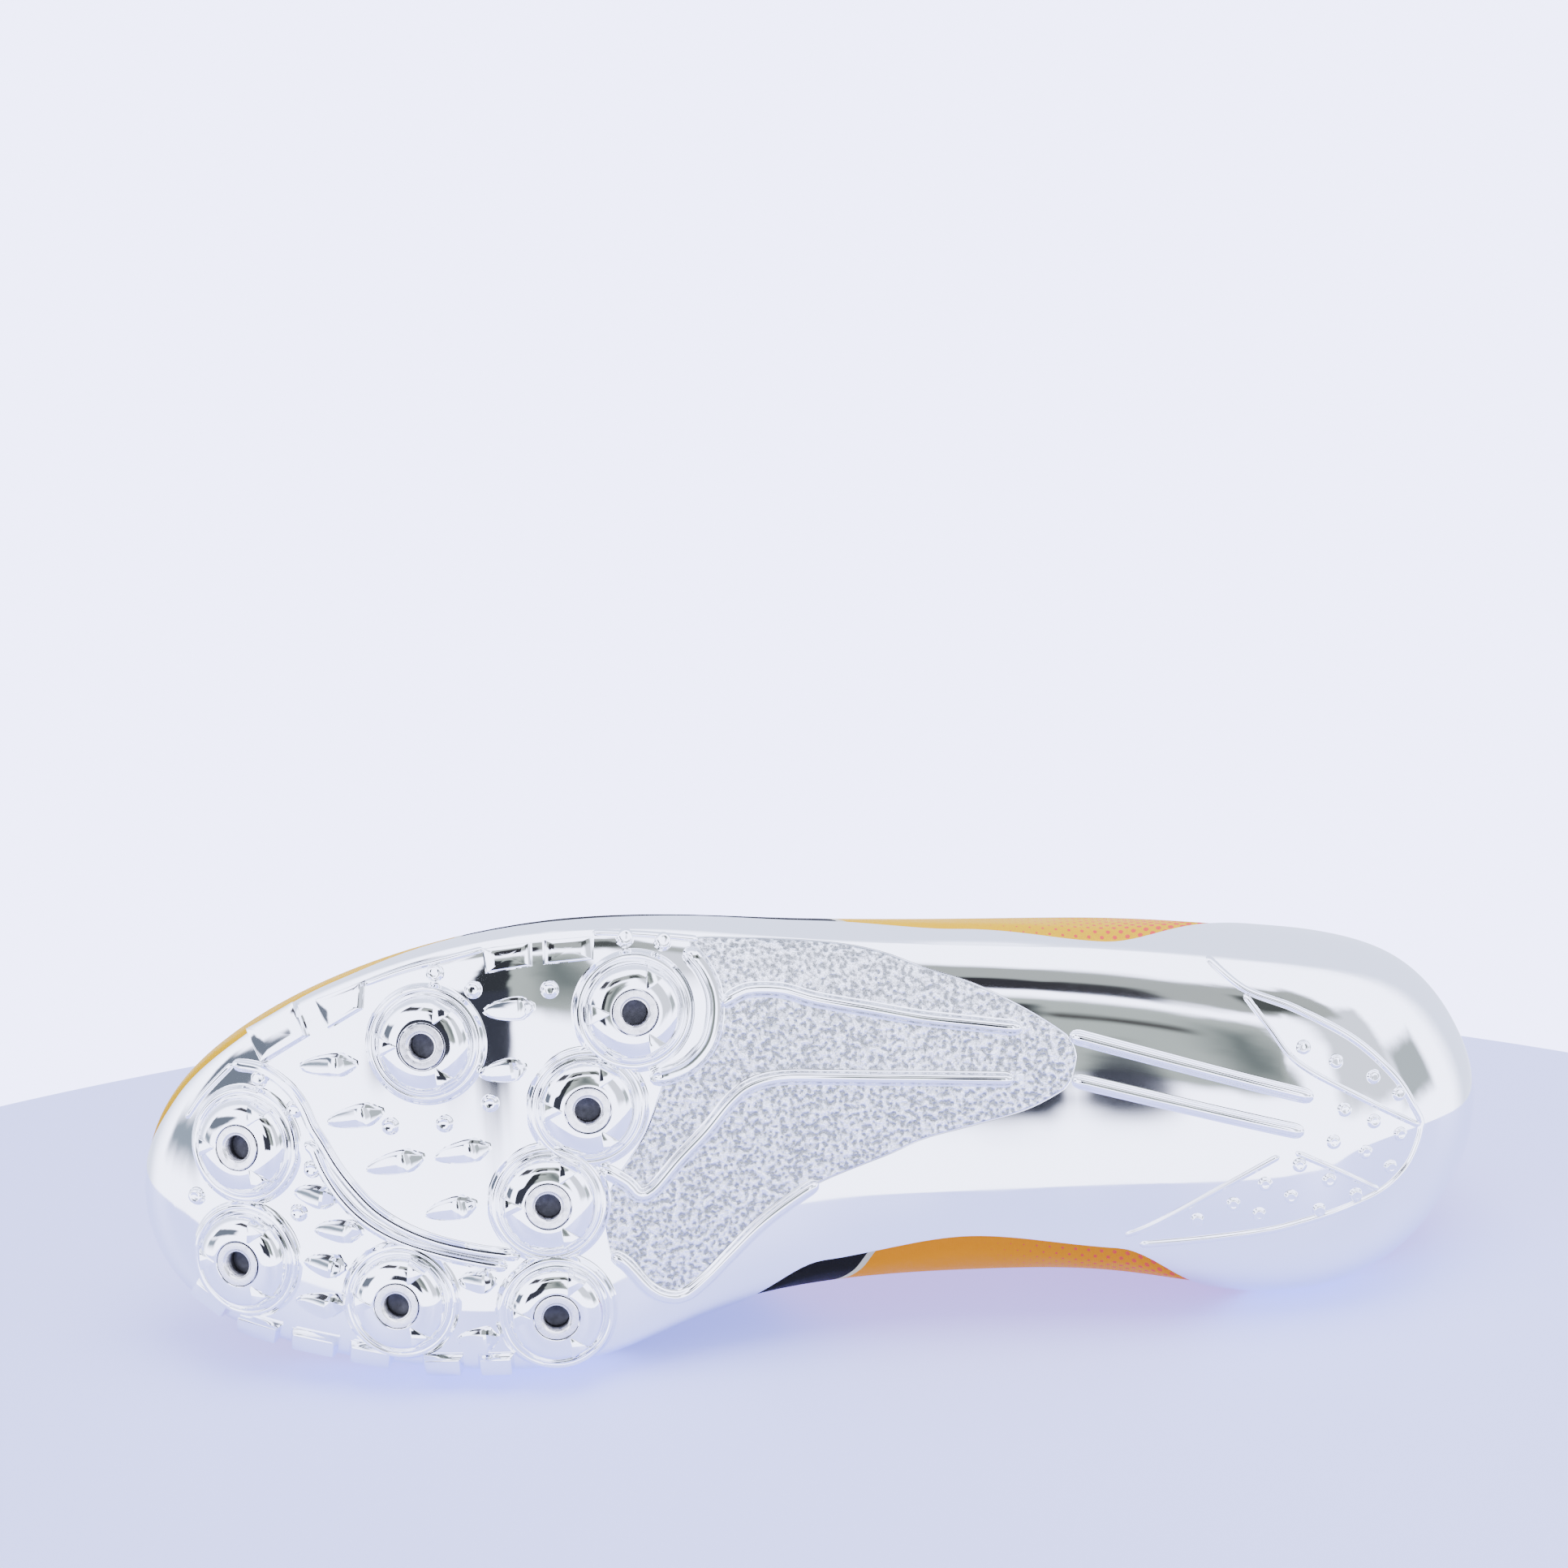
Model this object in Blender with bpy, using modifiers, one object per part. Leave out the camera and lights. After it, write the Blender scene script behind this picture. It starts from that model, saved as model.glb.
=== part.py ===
"""Track spike shoe, left foot, lying on its medial side.

The shoe is modelled the way it is worn (x from heel to toe, y to the lateral side, z up from the
ground) and is laid on its side at the end. All lengths are metres.
"""
import bpy
import bmesh
import numpy as np
from math import cos, sin, pi, radians
from mathutils import Matrix, Vector
from mathutils.bvhtree import BVHTree

# Main sizes
LENGTH = 0.2765            # of the sole; heel cup and toe reach a little past it
HALF_WIDTH = 0.050         # half of the width at the ball
TOE_SPRING = 0.0195        # how far the toe tip is lifted
ARCH_RISE = 0.0062         # how far the plate is lifted under the arch
SIDE_RISE = 0.026          # height of the widest line above the sole at the heel
COLLAR_HEIGHT = 0.068      # top of the heel collar above the ground

# Walls and clearances
PLATE_WALL = 0.0018        # plate at its turned-up rim
UPPER_WALL = 0.0013        # upper
BAND_STEP = 0.0008         # eyestay and collar band stand out by this
GAP = 0.0003               # between pieces that touch
INSOLE_THICK = 0.003
INSOLE_EDGE = 60           # percent of the way from under the foot to the widest line
INSOLE_LIFT = 0.0018       # the insole's rim stands this much off the lasting margin
TONGUE_THICK = 0.0028
TONGUE_EASE = 0.0002       # extra room over the tongue, for its facets
LACE_EASE = 0.0003         # and under the lace

# Spike seats
SEAT_RADIUS = 0.0120       # foot ring of a seat
SEAT_FOOT = 0.0013         # height of the foot ring
SEAT_DROP = 0.0022         # and how far it may reach down where the plate turns up
BOSS_RADIUS = 0.0098       # dome
BOSS_HEIGHT = 0.0045       # dome above the plate
BOSS_FLOOR = 0.0006        # left under the insert, above the plate
INSERT_RADIUS = 0.0046     # threaded metal insert
INSERT_PROUD = 0.0002      # it stands out of the dome by this
HOLE_RADIUS = 0.0026       # open thread
HOLE_FLOOR = 0.0006        # metal left under the hole
RING_TOP = (65, 20)        # the foot ring's flat top, percent of its width out from the dome
GUSSET_WIDTH = 0.0052
GUSSET_REACH = 86          # percent of SEAT_RADIUS, from the seat's axis
SINK = 0.0009              # how far a feature's foot goes into the plate
SIDES = 18                 # of round pieces
SEAT_SAMPLE = 60           # a seat's axis is the mean way out of the plate round it, percent of BOSS_RADIUS
SEAT_SAMPLES = 8
# Dome of a seat. across: percent from the insert's pocket to the dome's edge, high: of BOSS_HEIGHT
DOME = ((75, 70), (45, 96), (0, 100))
# Side view of a gusset. out: percent from pocket to reach, high: of BOSS_HEIGHT, wide: of GUSSET_WIDTH
GUSSET = ((15, 7, 35), (100, 7, 100), (100, 44, 92), (73, 78, 80), (15, 93, 14))
GUSSET_TURNS = (0, 120, 240)       # degrees round the seat, from the toe's side

# Traction
TOOTH_HEIGHT = 0.0034
TOOTH_WIDTH = 0.0048
TOOTH_BELLY, TOOTH_TIP = 70, 76    # percent of its length, where it is widest and highest
RIDGE_WIDTH = 0.0020
RIDGE_HEIGHT = 0.0015
RIB_WIDTH = 0.0024
RIB_HEIGHT = 0.0014
WALL_WIDTH = 0.0030
WALL_HEIGHT = 0.0026
LUG_WIDTH = 0.0034
LUG_HEIGHT = 0.0020
BLOCK_HEIGHT = 0.0016
LUG_TOP, BLOCK_TOP = 82, 88        # percent of the outline left on top
RIDGE_TOP = 52             # percent of a ridge's width left flat on top
HEEL_LINE_WIDTH = 0.0012
HEEL_LINE_HEIGHT = 0.0006

# Laces
LACE_WIDTH = 0.0056
LACE_THICK = 0.0013
LACE_LIFTS = (0.0006, 0.0012)      # how far the two families of strands arch over the throat
LACE_STEP = 0.0004         # the bar and the families start this much above each other

# Meridians of the last, from the back of the heel round the lateral side to the toe and back.
# x, top_x: percent of LENGTH. y, top_y: percent of HALF_WIDTH. rise: percent of SIDE_RISE.
# square: how boxy the lower section is. edge: plate edge, 1 is the widest line.
# top_z: percent of COLLAR_HEIGHT. lean: degrees that the top edge leans in.
# low, high: how far the side stays upright, and how far it keeps the lean, as shares of its height.
MERIDIANS = (
    # x      y    rise  square edge  top_x  top_y  top_z  lean  low   high
    ( -0.9,   -8,  100,  2.4,  1.34,   2.6,   -8,  100,   4,  0.34,  0.30),
    (  0.4,   27,  100,  2.4,  1.30,   4.4,   23,   97,   4,  0.34,  0.30),
    (  5.7,   59,  100,  2.5,  1.20,  10.0,   46,   89,   6,  0.34,  0.30),
    ( 16.0,   73,   96,  2.6,  1.00,  18.5,   55,   83,   8,  0.36,  0.30),
    ( 27.0,   79,   88,  2.9,  0.68,  27.5,   54,   87,  16,  0.38,  0.30),
    ( 38.0,   81,   76,  3.0,  0.80,  36.5,   34,  101,  40,  0.40,  0.30),
    ( 49.0,   84,   68,  3.1,  0.92,  44.5,   19,  105,  54,  0.42,  0.30),
    ( 58.0,   89,   60,  3.8,  0.94,  52.0,   17,   96,  58,  0.40,  0.30),
    ( 67.0,   91,   55,  5.4,  0.92,  59.0,   15,   86,  62,  0.36,  0.30),
    ( 76.0,   85,   52,  6.0,  0.92,  65.0,   12,   78,  66,  0.30,  0.30),
    ( 85.0,   70,   52,  5.6,  0.78,  68.4,    7,   74,  71,  0.24,  0.31),
    ( 92.7,   48,   52,  4.6,  0.70,  69.8,    1,   73,  75,  0.18,  0.32),
    ( 98.3,   20,   54,  3.8,  0.74,  70.3,   -4,   73,  78,  0.14,  0.33),
    (100.8,  -14,   54,  3.6,  0.84,  70.4,   -9,   73,  79,  0.13,  0.33),
    ( 99.6,  -50,   54,  3.8,  0.92,  70.3,  -14,   73,  78,  0.14,  0.33),
    ( 94.2,  -76,   52,  4.6,  0.96,  69.8,  -19,   73,  75,  0.18,  0.32),
    ( 85.3,  -90,   52,  5.6,  1.03,  68.4,  -25,   74,  71,  0.25,  0.31),
    ( 76.0,  -96,   52,  6.0,  1.08,  65.0,  -30,   78,  66,  0.32,  0.30),
    ( 67.0,  -94,   55,  5.4,  1.04,  59.0,  -33,   86,  62,  0.38,  0.30),
    ( 58.0,  -79,   60,  3.8,  0.88,  52.0,  -35,   96,  58,  0.40,  0.30),
    ( 49.0,  -71,   68,  3.0,  0.47,  44.5,  -37,  105,  52,  0.42,  0.30),
    ( 38.0,  -69,   76,  3.0,  0.36,  36.5,  -46,  101,  34,  0.40,  0.30),
    ( 27.0,  -72,   88,  2.9,  0.45,  27.5,  -62,   87,   8,  0.38,  0.30),
    ( 16.0,  -82,   96,  2.6,  1.02,  18.5,  -66,   83,   5,  0.36,  0.30),
    (  7.2,  -73,  100,  2.5,  1.20,  10.0,  -56,   89,   4,  0.34,  0.30),
    (  1.5,  -44,  100,  2.4,  1.30,   4.4,  -35,   97,   4,  0.34,  0.30),
)
HEEL_CENTRE = 0.145        # share of LENGTH where the heel's fan of meridians starts
TOE_CENTRE = 0.830         # and the toe's
AXIS_Y = -0.08             # the middle line, share of HALF_WIDTH

# The sole's side view: share of LENGTH, share of TOE_SPRING, share of ARCH_RISE
PROFILE = (
    (0.00, 0.00, 0.35), (0.07, 0.00, 0.10), (0.16, 0.00, 0.00), (0.30, 0.00, 0.50),
    (0.45, 0.00, 1.00), (0.56, 0.00, 0.62), (0.66, 0.02, 0.08), (0.72, 0.03, 0.00),
    (0.80, 0.165, 0.0), (0.88, 0.41, 0.00), (0.94, 0.66, 0.00), (1.00, 1.00, 0.00),
)

# Sole features. Every x is in percent of LENGTH, every y in percent of HALF_WIDTH.
SEATS = ((92.1, 1.4), (92.5, -46.9), (78.0, 43.4), (80.8, -64.0), (62.5, 53.4), (66.2, 14.7),
         (69.4, -24.4), (69.2, -70.1))
# Teeth: front tip x, y, rear tip x, y
TEETH = ((87.6, 34.4, 83.4, 35.4), (85.7, 11.3, 81.6, 15.4), (82.9, -8.5, 78.7, -3.9),
         (77.7, -4.0, 73.7, -0.2), (78.6, -27.7, 74.9, -23.8), (73.5, 56.2, 69.9, 57.2),
         (74.0, 30.0, 70.7, 32.4), (88.5, -17.9, 85.4, -21.4), (87.1, -33.8, 83.6, -35.0),
         (88.0, -47.4, 85.0, -50.1), (88.8, -64.2, 85.3, -66.9), (76.4, -55.8, 73.7, -56.6),
         (76.7, -81.1, 73.7, -80.7))
# Lugs along the medial edge: centre x, y, length in percent of LENGTH, degrees off the shoe's axis
LUGS = ((95.4, -64.0, 3.2, 35), (91.9, -76.0, 3.4, 15), (87.6, -81.8, 3.6, 11),
        (83.3, -86.6, 3.3, 11), (77.9, -91.0, 3.0, 0), (73.9, -91.0, 2.6, 0))
# Raised blocks of the lateral border, four corners each
BLOCKS = (((90.5, 35.6), (86.9, 47.2), (87.7, 60.0), (91.6, 48.0)),
          ((85.3, 50.0), (82.7, 58.2), (82.5, 68.5), (86.2, 61.0)),
          ((73.2, 72.0), (69.9, 74.2), (69.9, 83.0), (73.4, 81.0)),
          ((68.9, 74.6), (65.4, 75.6), (65.3, 84.0), (68.9, 83.5)))
# Ridges, ribs and walls: points along their middle line
RIDGES = (((92.9, 34.6), (90.6, 33.1), (88.7, 26.3), (87.6, 18.2), (86.9, 9.1), (86.2, 2.5),
           (85.2, -7.4), (83.9, -17.2), (82.3, -26.5), (80.2, -33.9), (77.7, -39.5),
           (74.8, -43.4), (71.7, -46.0)),
          ((87.6, 2.3), (86.9, -0.4), (86.2, -9.6), (85.0, -20.5), (83.3, -30.2),
           (81.0, -38.0), (78.3, -43.5), (75.4, -47.6), (72.7, -50.5)))
RIBS = (((56.0, 53.5), (54.8, 57.4), (53.6, 59.0), (51.3, 57.8), (48.8, 53.3), (44.8, 48.4),
         (41.0, 44.0), (37.1, 41.0), (33.6, 38.5)),
        ((65.4, -10.9), (63.5, -17.9), (62.7, -22.9), (61.6, -21.3), (59.6, -9.6), (57.5, 1.6),
         (55.5, 13.9), (53.9, 20.0), (51.6, 22.3), (48.1, 21.3), (44.3, 20.0), (39.4, 18.8),
         (34.3, 17.6)),
        ((64.9, -47.0), (63.8, -51.8), (62.3, -62.3), (61.0, -66.7), (59.6, -66.8),
         (58.0, -60.7), (56.0, -50.3), (54.0, -40.0), (52.0, -31.8), (49.3, -22.4)),
        ((30.1, 35.2), (24.0, 25.3), (18.0, 15.5), (12.2, 6.1)),
        ((30.1, 17.0), (24.4, 8.6), (18.8, 0.3), (13.0, -8.2)))
WALLS = (((58.5, 77.1), (57.3, 69.6), (56.5, 59.0), (56.5, 48.4), (57.1, 38.0), (58.5, 29.9),
          (60.1, 26.2), (61.5, 25.1)),)
HEEL_LINES = (((19.6, 64.2), (17.0, 51.3), (13.2, 42.3), (9.0, 28.9), (6.0, 12.6), (4.5, -1.5),
               (4.0, -9.5), (4.6, -20.4), (5.6, -28.4), (7.3, -35.5), (10.3, -41.7),
               (13.3, -46.2), (16.0, -49.3), (21.0, -52.3), (25.4, -54.0)),)

SCENE_NAME = "track_spike_shoe"
RING = 60                  # points around each shell
WALL_ROWS = (0.0, 0.16, 0.36, 0.66, 1.0)      # rows of points up the plate's wall, for all shells
# Places on a meridian, percent of the way from under the foot to the widest line
MARGIN = 55                # the lasting margin ends here, of the plate's edge
MARGIN_MOST = 54           # and no higher than this
MARGIN_STEP = 1.2          # the plate steps down for the margin over this
PAST_RIM = 5               # the upper clears the plate's rim this far past it
PAST_STEP = 8              # and has its full size this far on
BAND_START = 80            # the eyestay and collar band begins, from widest line to top edge
BAND_RISE = 1.5            # and rises over this
# Rows of points: shares of the way to the plate's edge, to the margin's edge and up the upper
PLATE_ROWS = (0.0, 0.10, 0.28, 0.46, 0.62, 0.76, 0.88, 1.0)
MARGIN_ROWS = (0.0, 0.22, 0.62, 1.0)
INSOLE_ROWS = (0.0, 0.22, 0.62, 1.0, 1.5, 2.0)
SIDE_ROWS = (0.5, 1.0)
TOP_ROWS = (0.2, 0.4, 0.6)
NUDGE = 0.01               # step along a meridian to find a slope
PROFILE_STEP = 0.0005      # and along the shoe
FLAT_REACH = 0.02          # a top edge further in than this leans straight at its widest point
BELOW = 0.05               # rays to the plate start this far under the ground


def spline_rows(rows):
    """Closed cubic through rows spaced evenly, with continuous slope and curvature."""
    table = np.array(rows, float)
    count = len(table)
    system = np.zeros((count, count))
    right = np.zeros_like(table)
    for i in range(count):
        system[i, (i - 1) % count] = 1
        system[i, i] = 4
        system[i, (i + 1) % count] = 1
        right[i] = 3 * (table[(i + 1) % count] - table[(i - 1) % count])
    slopes = np.linalg.solve(system, right)

    def read(u):
        u = u % count
        i = int(u)
        j = (i + 1) % count
        t = u - i
        return hermite(t, table[i], slopes[i], table[j], slopes[j])
    return read


def hermite(t, a, slope_a, b, slope_b):
    return (a * (2 * t ** 3 - 3 * t ** 2 + 1) + slope_a * (t ** 3 - 2 * t ** 2 + t)
            + b * (3 * t ** 2 - 2 * t ** 3) + slope_b * (t ** 3 - t ** 2))


def smooth(t):
    t = min(max(t, 0.0), 1.0)
    return t * t * (3 - 2 * t)


def make_profile():
    """Height of the sole along the shoe, a smooth curve through PROFILE."""
    shares = np.array([row[0] for row in PROFILE])
    height = np.array([row[1] * TOE_SPRING + row[2] * ARCH_RISE for row in PROFILE])
    slope = np.gradient(height, shares)

    def read(x):
        s = x / LENGTH
        if s <= shares[0]:
            return height[0] + slope[0] * (s - shares[0])
        if s >= shares[-1]:
            return height[-1] + slope[-1] * (s - shares[-1])
        i = int(np.searchsorted(shares, s)) - 1
        i = max(i, 0)
        h = shares[i + 1] - shares[i]
        t = (s - shares[i]) / h
        return hermite(t, height[i], h * slope[i], height[i + 1], h * slope[i + 1])
    return read


profile = make_profile()
meridian = spline_rows(MERIDIANS)
AROUND = len(MERIDIANS)


def plate_edge(u):
    """Where the plate ends on meridian u, on the same scale as q in last()."""
    i = int(u % AROUND)
    t = (u % AROUND) - i
    a = MERIDIANS[i][4]
    b = MERIDIANS[(i + 1) % AROUND][4]
    return a + (b - a) * smooth(t)


def last(u, q):
    """Point of the shoe's outside on meridian u: q 0 under the foot, 1 widest, 2 at the top edge."""
    row = meridian(u)
    out = Vector((row[0] * 0.01 * LENGTH, row[1] * 0.01 * HALF_WIDTH, 0))
    axis = AXIS_Y * HALF_WIDTH
    across = 0.005 * (row[0] + meridian(AROUND - u)[0]) * LENGTH
    anchor = Vector((min(max(across, HEEL_CENTRE * LENGTH), TOE_CENTRE * LENGTH), axis, 0))
    rise = row[2] * 0.01 * SIDE_RISE
    if q <= 1.0:
        angle = max(q, 0.0) * pi / 2
        share = sin(angle) ** (2 / row[3])
        point = anchor.lerp(out, share)
        point.z = profile(point.x) + rise * (1 - max(cos(angle), 0.0) ** (2 / row[3]))
        return point
    wide = Vector((out.x, out.y, profile(out.x) + rise))
    top = Vector((row[5] * 0.01 * LENGTH, row[6] * 0.01 * HALF_WIDTH, row[7] * 0.01 * COLLAR_HEIGHT))
    inward = Vector((top.x - wide.x, top.y - wide.y, 0))
    flat = (Vector((anchor.x, anchor.y, 0)) - out).normalized()
    flat = inward.normalized() if inward.length > FLAT_REACH else flat
    chord = (top - wide).length
    lean = radians(row[8])
    tangent = flat * sin(lean) + Vector((0, 0, cos(lean)))
    one = wide + Vector((0, 0, row[9] * chord))
    two = top - tangent * row[10] * chord
    t = q - 1.0
    return (wide * (1 - t) ** 3 + one * 3 * t * (1 - t) ** 2 + two * 3 * t * t * (1 - t) + top * t ** 3)


def normal(u, q):
    """Outward normal of last()."""
    if q < 2 * NUDGE:
        x = last(u, 0).x
        slope = (profile(x + PROFILE_STEP) - profile(x - PROFILE_STEP)) / (2 * PROFILE_STEP)
        return Vector((slope, 0, -1)).normalized()
    side = last(u + 2 * NUDGE, q) - last(u - 2 * NUDGE, q)
    low, high = q - NUDGE, q + NUDGE
    if q < 1.0 < high:
        high = 1.0
    if low < 1.0 <= q:
        low = 1.0
    along = last(u, min(high, 2.0)) - last(u, low)
    out = side.cross(along)
    return -out.normalized() if out.length > 0 else Vector((0, 0, -1))


def skin(u, q, depth):
    return last(u, q) - normal(u, q) * depth


def new_mesh(name, bm, collection, smooth_shade=True):
    mesh = bpy.data.meshes.new(name)
    bm.to_mesh(mesh)
    bm.free()
    if smooth_shade:
        mesh.shade_smooth()
        mesh.set_sharp_from_angle(angle=radians(35))
    item = bpy.data.objects.new(name, mesh)
    collection.objects.link(item)
    return item


def loft(bm, rings, close_around):
    """Quads between rows of points."""
    verts = [[bm.verts.new(p) for p in ring] for ring in rings]
    for a, b in zip(verts, verts[1:]):
        count = len(a)
        for i in range(count if close_around else count - 1):
            j = (i + 1) % count
            bm.faces.new((a[i], a[j], b[j], b[i]))
    return verts


def bridge_rings(bm, a, b):
    for i in range(len(a)):
        j = (i + 1) % len(a)
        bm.faces.new((a[i], a[j], b[j], b[i]))


def finish_mesh(bm, weld=0.00002):
    bmesh.ops.remove_doubles(bm, verts=bm.verts, dist=weld)
    bmesh.ops.dissolve_degenerate(bm, edges=bm.edges, dist=0.000005)
    bmesh.ops.recalc_face_normals(bm, faces=bm.faces)


def stations():
    """Meridian numbers of a ring of points, the same for all shells so that their facets agree."""
    return [AROUND * i / RING for i in range(RING)]


def margin_edge(u):
    """Where the upper's lasting margin ends under the foot."""
    return min(MARGIN * plate_edge(u), MARGIN_MOST) / 100


UNDER = PLATE_WALL + GAP                       # depth of the upper's outside inside the plate
MIDDLE = PLATE_WALL + GAP + UPPER_WALL         # the plate is thicker inside the lasting margin


def build_plate_shell(collection):
    bm = bmesh.new()
    around = stations()
    outer = [[skin(u, plate_edge(u) * s, 0.0) for u in around] for s in PLATE_ROWS]
    inner = [[skin(u, margin_edge(u) * s, MIDDLE) for u in around] for s in MARGIN_ROWS]
    wall = []
    for s in WALL_ROWS:
        wall.append([skin(u, upper_place(u, "plate", s), PLATE_WALL) for u in around])
    a = loft(bm, outer, True)
    b = loft(bm, inner + wall, True)
    bridge_rings(bm, a[-1], b[-1])
    finish_mesh(bm)
    return new_mesh("spike_plate", bm, collection)


def upper_place(u, part, share):
    """Place on meridian u: in the plate, from its edge to the widest line, or on to the top edge."""
    start = margin_edge(u) + MARGIN_STEP / 100
    edge = plate_edge(u)
    over = edge + PAST_RIM / 100
    wide = max(1.0, over + PAST_STEP / 100)
    low, high = {"plate": (start, edge), "side": (over, wide), "top": (wide, 2.0)}[part]
    return low + (high - low) * share


def build_upper(collection):
    bm = bmesh.new()
    around = stations()
    band, band_top = BAND_START / 100, (BAND_START + BAND_RISE) / 100
    outer = [("plate", s, UNDER) for s in WALL_ROWS] + [("side", 0.0, UNDER)]
    outer += [("side", s, BAND_STEP) for s in SIDE_ROWS]
    outer += [("top", s, BAND_STEP) for s in TOP_ROWS + (band,)]
    outer += [("top", s, 0.0) for s in (band_top, 1.0)]
    inner = [("plate", s, UNDER + UPPER_WALL) for s in WALL_ROWS] + [("side", 0.0, UNDER + UPPER_WALL)]
    inner += [("side", s, BAND_STEP + UPPER_WALL) for s in SIDE_ROWS]
    inner += [("top", s, BAND_STEP + UPPER_WALL) for s in TOP_ROWS + (band, 1.0)]
    rings = []
    for plan in (outer, inner):
        rows = [[skin(u, upper_place(u, part, s), depth) for u in around] for part, s, depth in plan]
        rings.append(loft(bm, rows, True))
    bridge_rings(bm, rings[0][0], rings[1][0])
    bridge_rings(bm, rings[0][-1], rings[1][-1])
    finish_mesh(bm)
    return new_mesh("upper", bm, collection)


def build_insole(collection):
    bm = bmesh.new()
    around = stations()
    low = MIDDLE + GAP

    def place(u, s):
        edge = margin_edge(u)
        return edge * s if s <= 1 else edge + (INSOLE_EDGE / 100 - edge) * (s - 1)

    bottom = [[skin(u, place(u, s), low + (INSOLE_LIFT if s > 1 else 0)) for u in around]
              for s in INSOLE_ROWS]
    top = [[skin(u, place(u, s), low + INSOLE_THICK) for u in around]
           for s in INSOLE_ROWS[:1] + INSOLE_ROWS[2:]]
    a = loft(bm, bottom, True)
    b = loft(bm, top, True)
    bridge_rings(bm, a[-1], b[-1])
    finish_mesh(bm)
    return new_mesh("insole", bm, collection)


THROAT_EDGE = 0.5          # w at the upper's top edges, on the scale of saddle()
THROAT_REACH = 22          # percent of the way down from the top edge, for w from the edge to 1
THROAT_PULL = 0.9          # how flat the saddle leaves the top edges


def saddle(k, w, depth):
    """Point over the throat: k is the meridian on the lateral side, w runs from medial -1 to lateral 1.

    Inside |w| < 0.5 it bridges the throat; outside it follows the upper below its top edge.
    """
    other = AROUND - k
    if abs(w) >= THROAT_EDGE:
        u = k if w > 0 else other
        return skin(u, 2.0 - (abs(w) - THROAT_EDGE) / THROAT_EDGE * THROAT_REACH / 100, depth)
    a, b = skin(other, 2.0, depth), skin(k, 2.0, depth)
    way_a = last(other, 2.0) - last(other, 2.0 - 3 * NUDGE)
    way_b = last(k, 2.0) - last(k, 2.0 - 3 * NUDGE)
    size = (b - a).length * THROAT_PULL
    return hermite(w + THROAT_EDGE, a, way_a.normalized() * size, b, way_b.normalized() * -size)


def saddle_normal(k, w):
    along = saddle(k + 5 * NUDGE, w, 0) - saddle(k - 5 * NUDGE, w, 0)
    across = saddle(k, w + 2 * NUDGE, 0) - saddle(k, w - 2 * NUDGE, 0)
    return along.cross(across).normalized()


TONGUE_FIRST, TONGUE_LAST = 5.5, 8.8          # meridians between which the tongue fills the throat
TONGUE_LOOPS = 7
TONGUE_ACROSS = (-0.86, -0.68, -0.5, -0.3, -0.1, 0.1, 0.3, 0.5, 0.68, 0.86)    # scale of saddle()
TONGUE_NARROW = (62, 81)                      # percent of its width at its first two loops
TONGUE_STAND = 0.016                          # how far it stands out of the collar
TONGUE_LEAN = (0.25, 0, 0.55)                 # added to its direction there: forward and up
TONGUE_TOP = ((92, 100), (97, 50))            # loops of that end: percent of size and of the way out
TOE = 13                                      # meridian of the toe's tip
TONGUE_FRONT = ((4.0, 2.0), (3.3, 1.88))      # meridians either side of the toe, place on them


def middle_of(points):
    return sum(points, Vector()) / len(points)


def build_tongue(collection):
    bm = bmesh.new()
    depth = BAND_STEP + UPPER_WALL + GAP
    rows = []
    for number in range(TONGUE_LOOPS):
        k = TONGUE_FIRST + (TONGUE_LAST - TONGUE_FIRST) * number / (TONGUE_LOOPS - 1)
        wide = (TONGUE_NARROW + (100,))[min(number, 2)] / 100
        top, bottom = [], []
        for place in TONGUE_ACROSS:
            n = saddle_normal(k, place * wide)
            p = saddle(k, place * wide, 0)
            top.append(p - n * (depth + TONGUE_EASE))
            bottom.append(p - n * (depth + TONGUE_EASE + TONGUE_THICK))
        rows.append(top + bottom[::-1])
    middle = middle_of(rows[0])
    move = (middle - middle_of(rows[1])).normalized() + Vector(TONGUE_LEAN)
    move = move.normalized() * TONGUE_STAND
    stand = [[middle + (p - middle) * size / 100 + move * out / 100 for p in rows[0]]
             for size, out in TONGUE_TOP]
    front = []
    for spread, q in TONGUE_FRONT:
        deep = depth + TONGUE_EASE * 3
        top = [skin(TOE - w * spread, q, deep) for w in TONGUE_ACROSS]
        bottom = [skin(TOE - w * spread, q, deep + TONGUE_THICK) for w in TONGUE_ACROSS]
        front.append(top + bottom[::-1])
    verts = loft(bm, stand + rows + front, True)
    for ring in (verts[0], verts[-1]):
        for i in range(len(TONGUE_ACROSS) - 1):
            bm.faces.new((ring[i], ring[i + 1], ring[-2 - i], ring[-1 - i]))
    finish_mesh(bm)
    return new_mesh("tongue", bm, collection)


EYELETS = (5.75, 6.55, 7.35, 8.15, 8.95)      # meridians of the eyelets, top to toe
EYELET_PLACE = 72                             # percent of the way across the saddle to its end
LACE_LOOPS = 6


def strand(bm, k_from, k_to, side_from, base, lift):
    """One flat lace strand over the throat."""
    def over(t):
        t = min(max(t, 0.0), 1.0)
        return k_from + (k_to - k_from) * t, side_from * EYELET_PLACE / 100 * (1 - 2 * t)

    loops = []
    for i in range(LACE_LOOPS + 1):
        t = i / LACE_LOOPS
        p, n = saddle(*over(t), 0), saddle_normal(*over(t))
        run = saddle(*over(t + 5 * NUDGE), 0) - saddle(*over(t - 5 * NUDGE), 0)
        wide = run.normalized().cross(n).normalized() * LACE_WIDTH * 0.5
        raised = GAP + LACE_EASE + base + lift * sin(pi * t)
        low = p + n * raised
        high = p + n * (raised + LACE_THICK)
        loops.append([low - wide, low + wide, high + wide, high - wide])
    verts = loft(bm, loops, True)
    bm.faces.new(verts[0])
    bm.faces.new(verts[-1])


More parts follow.
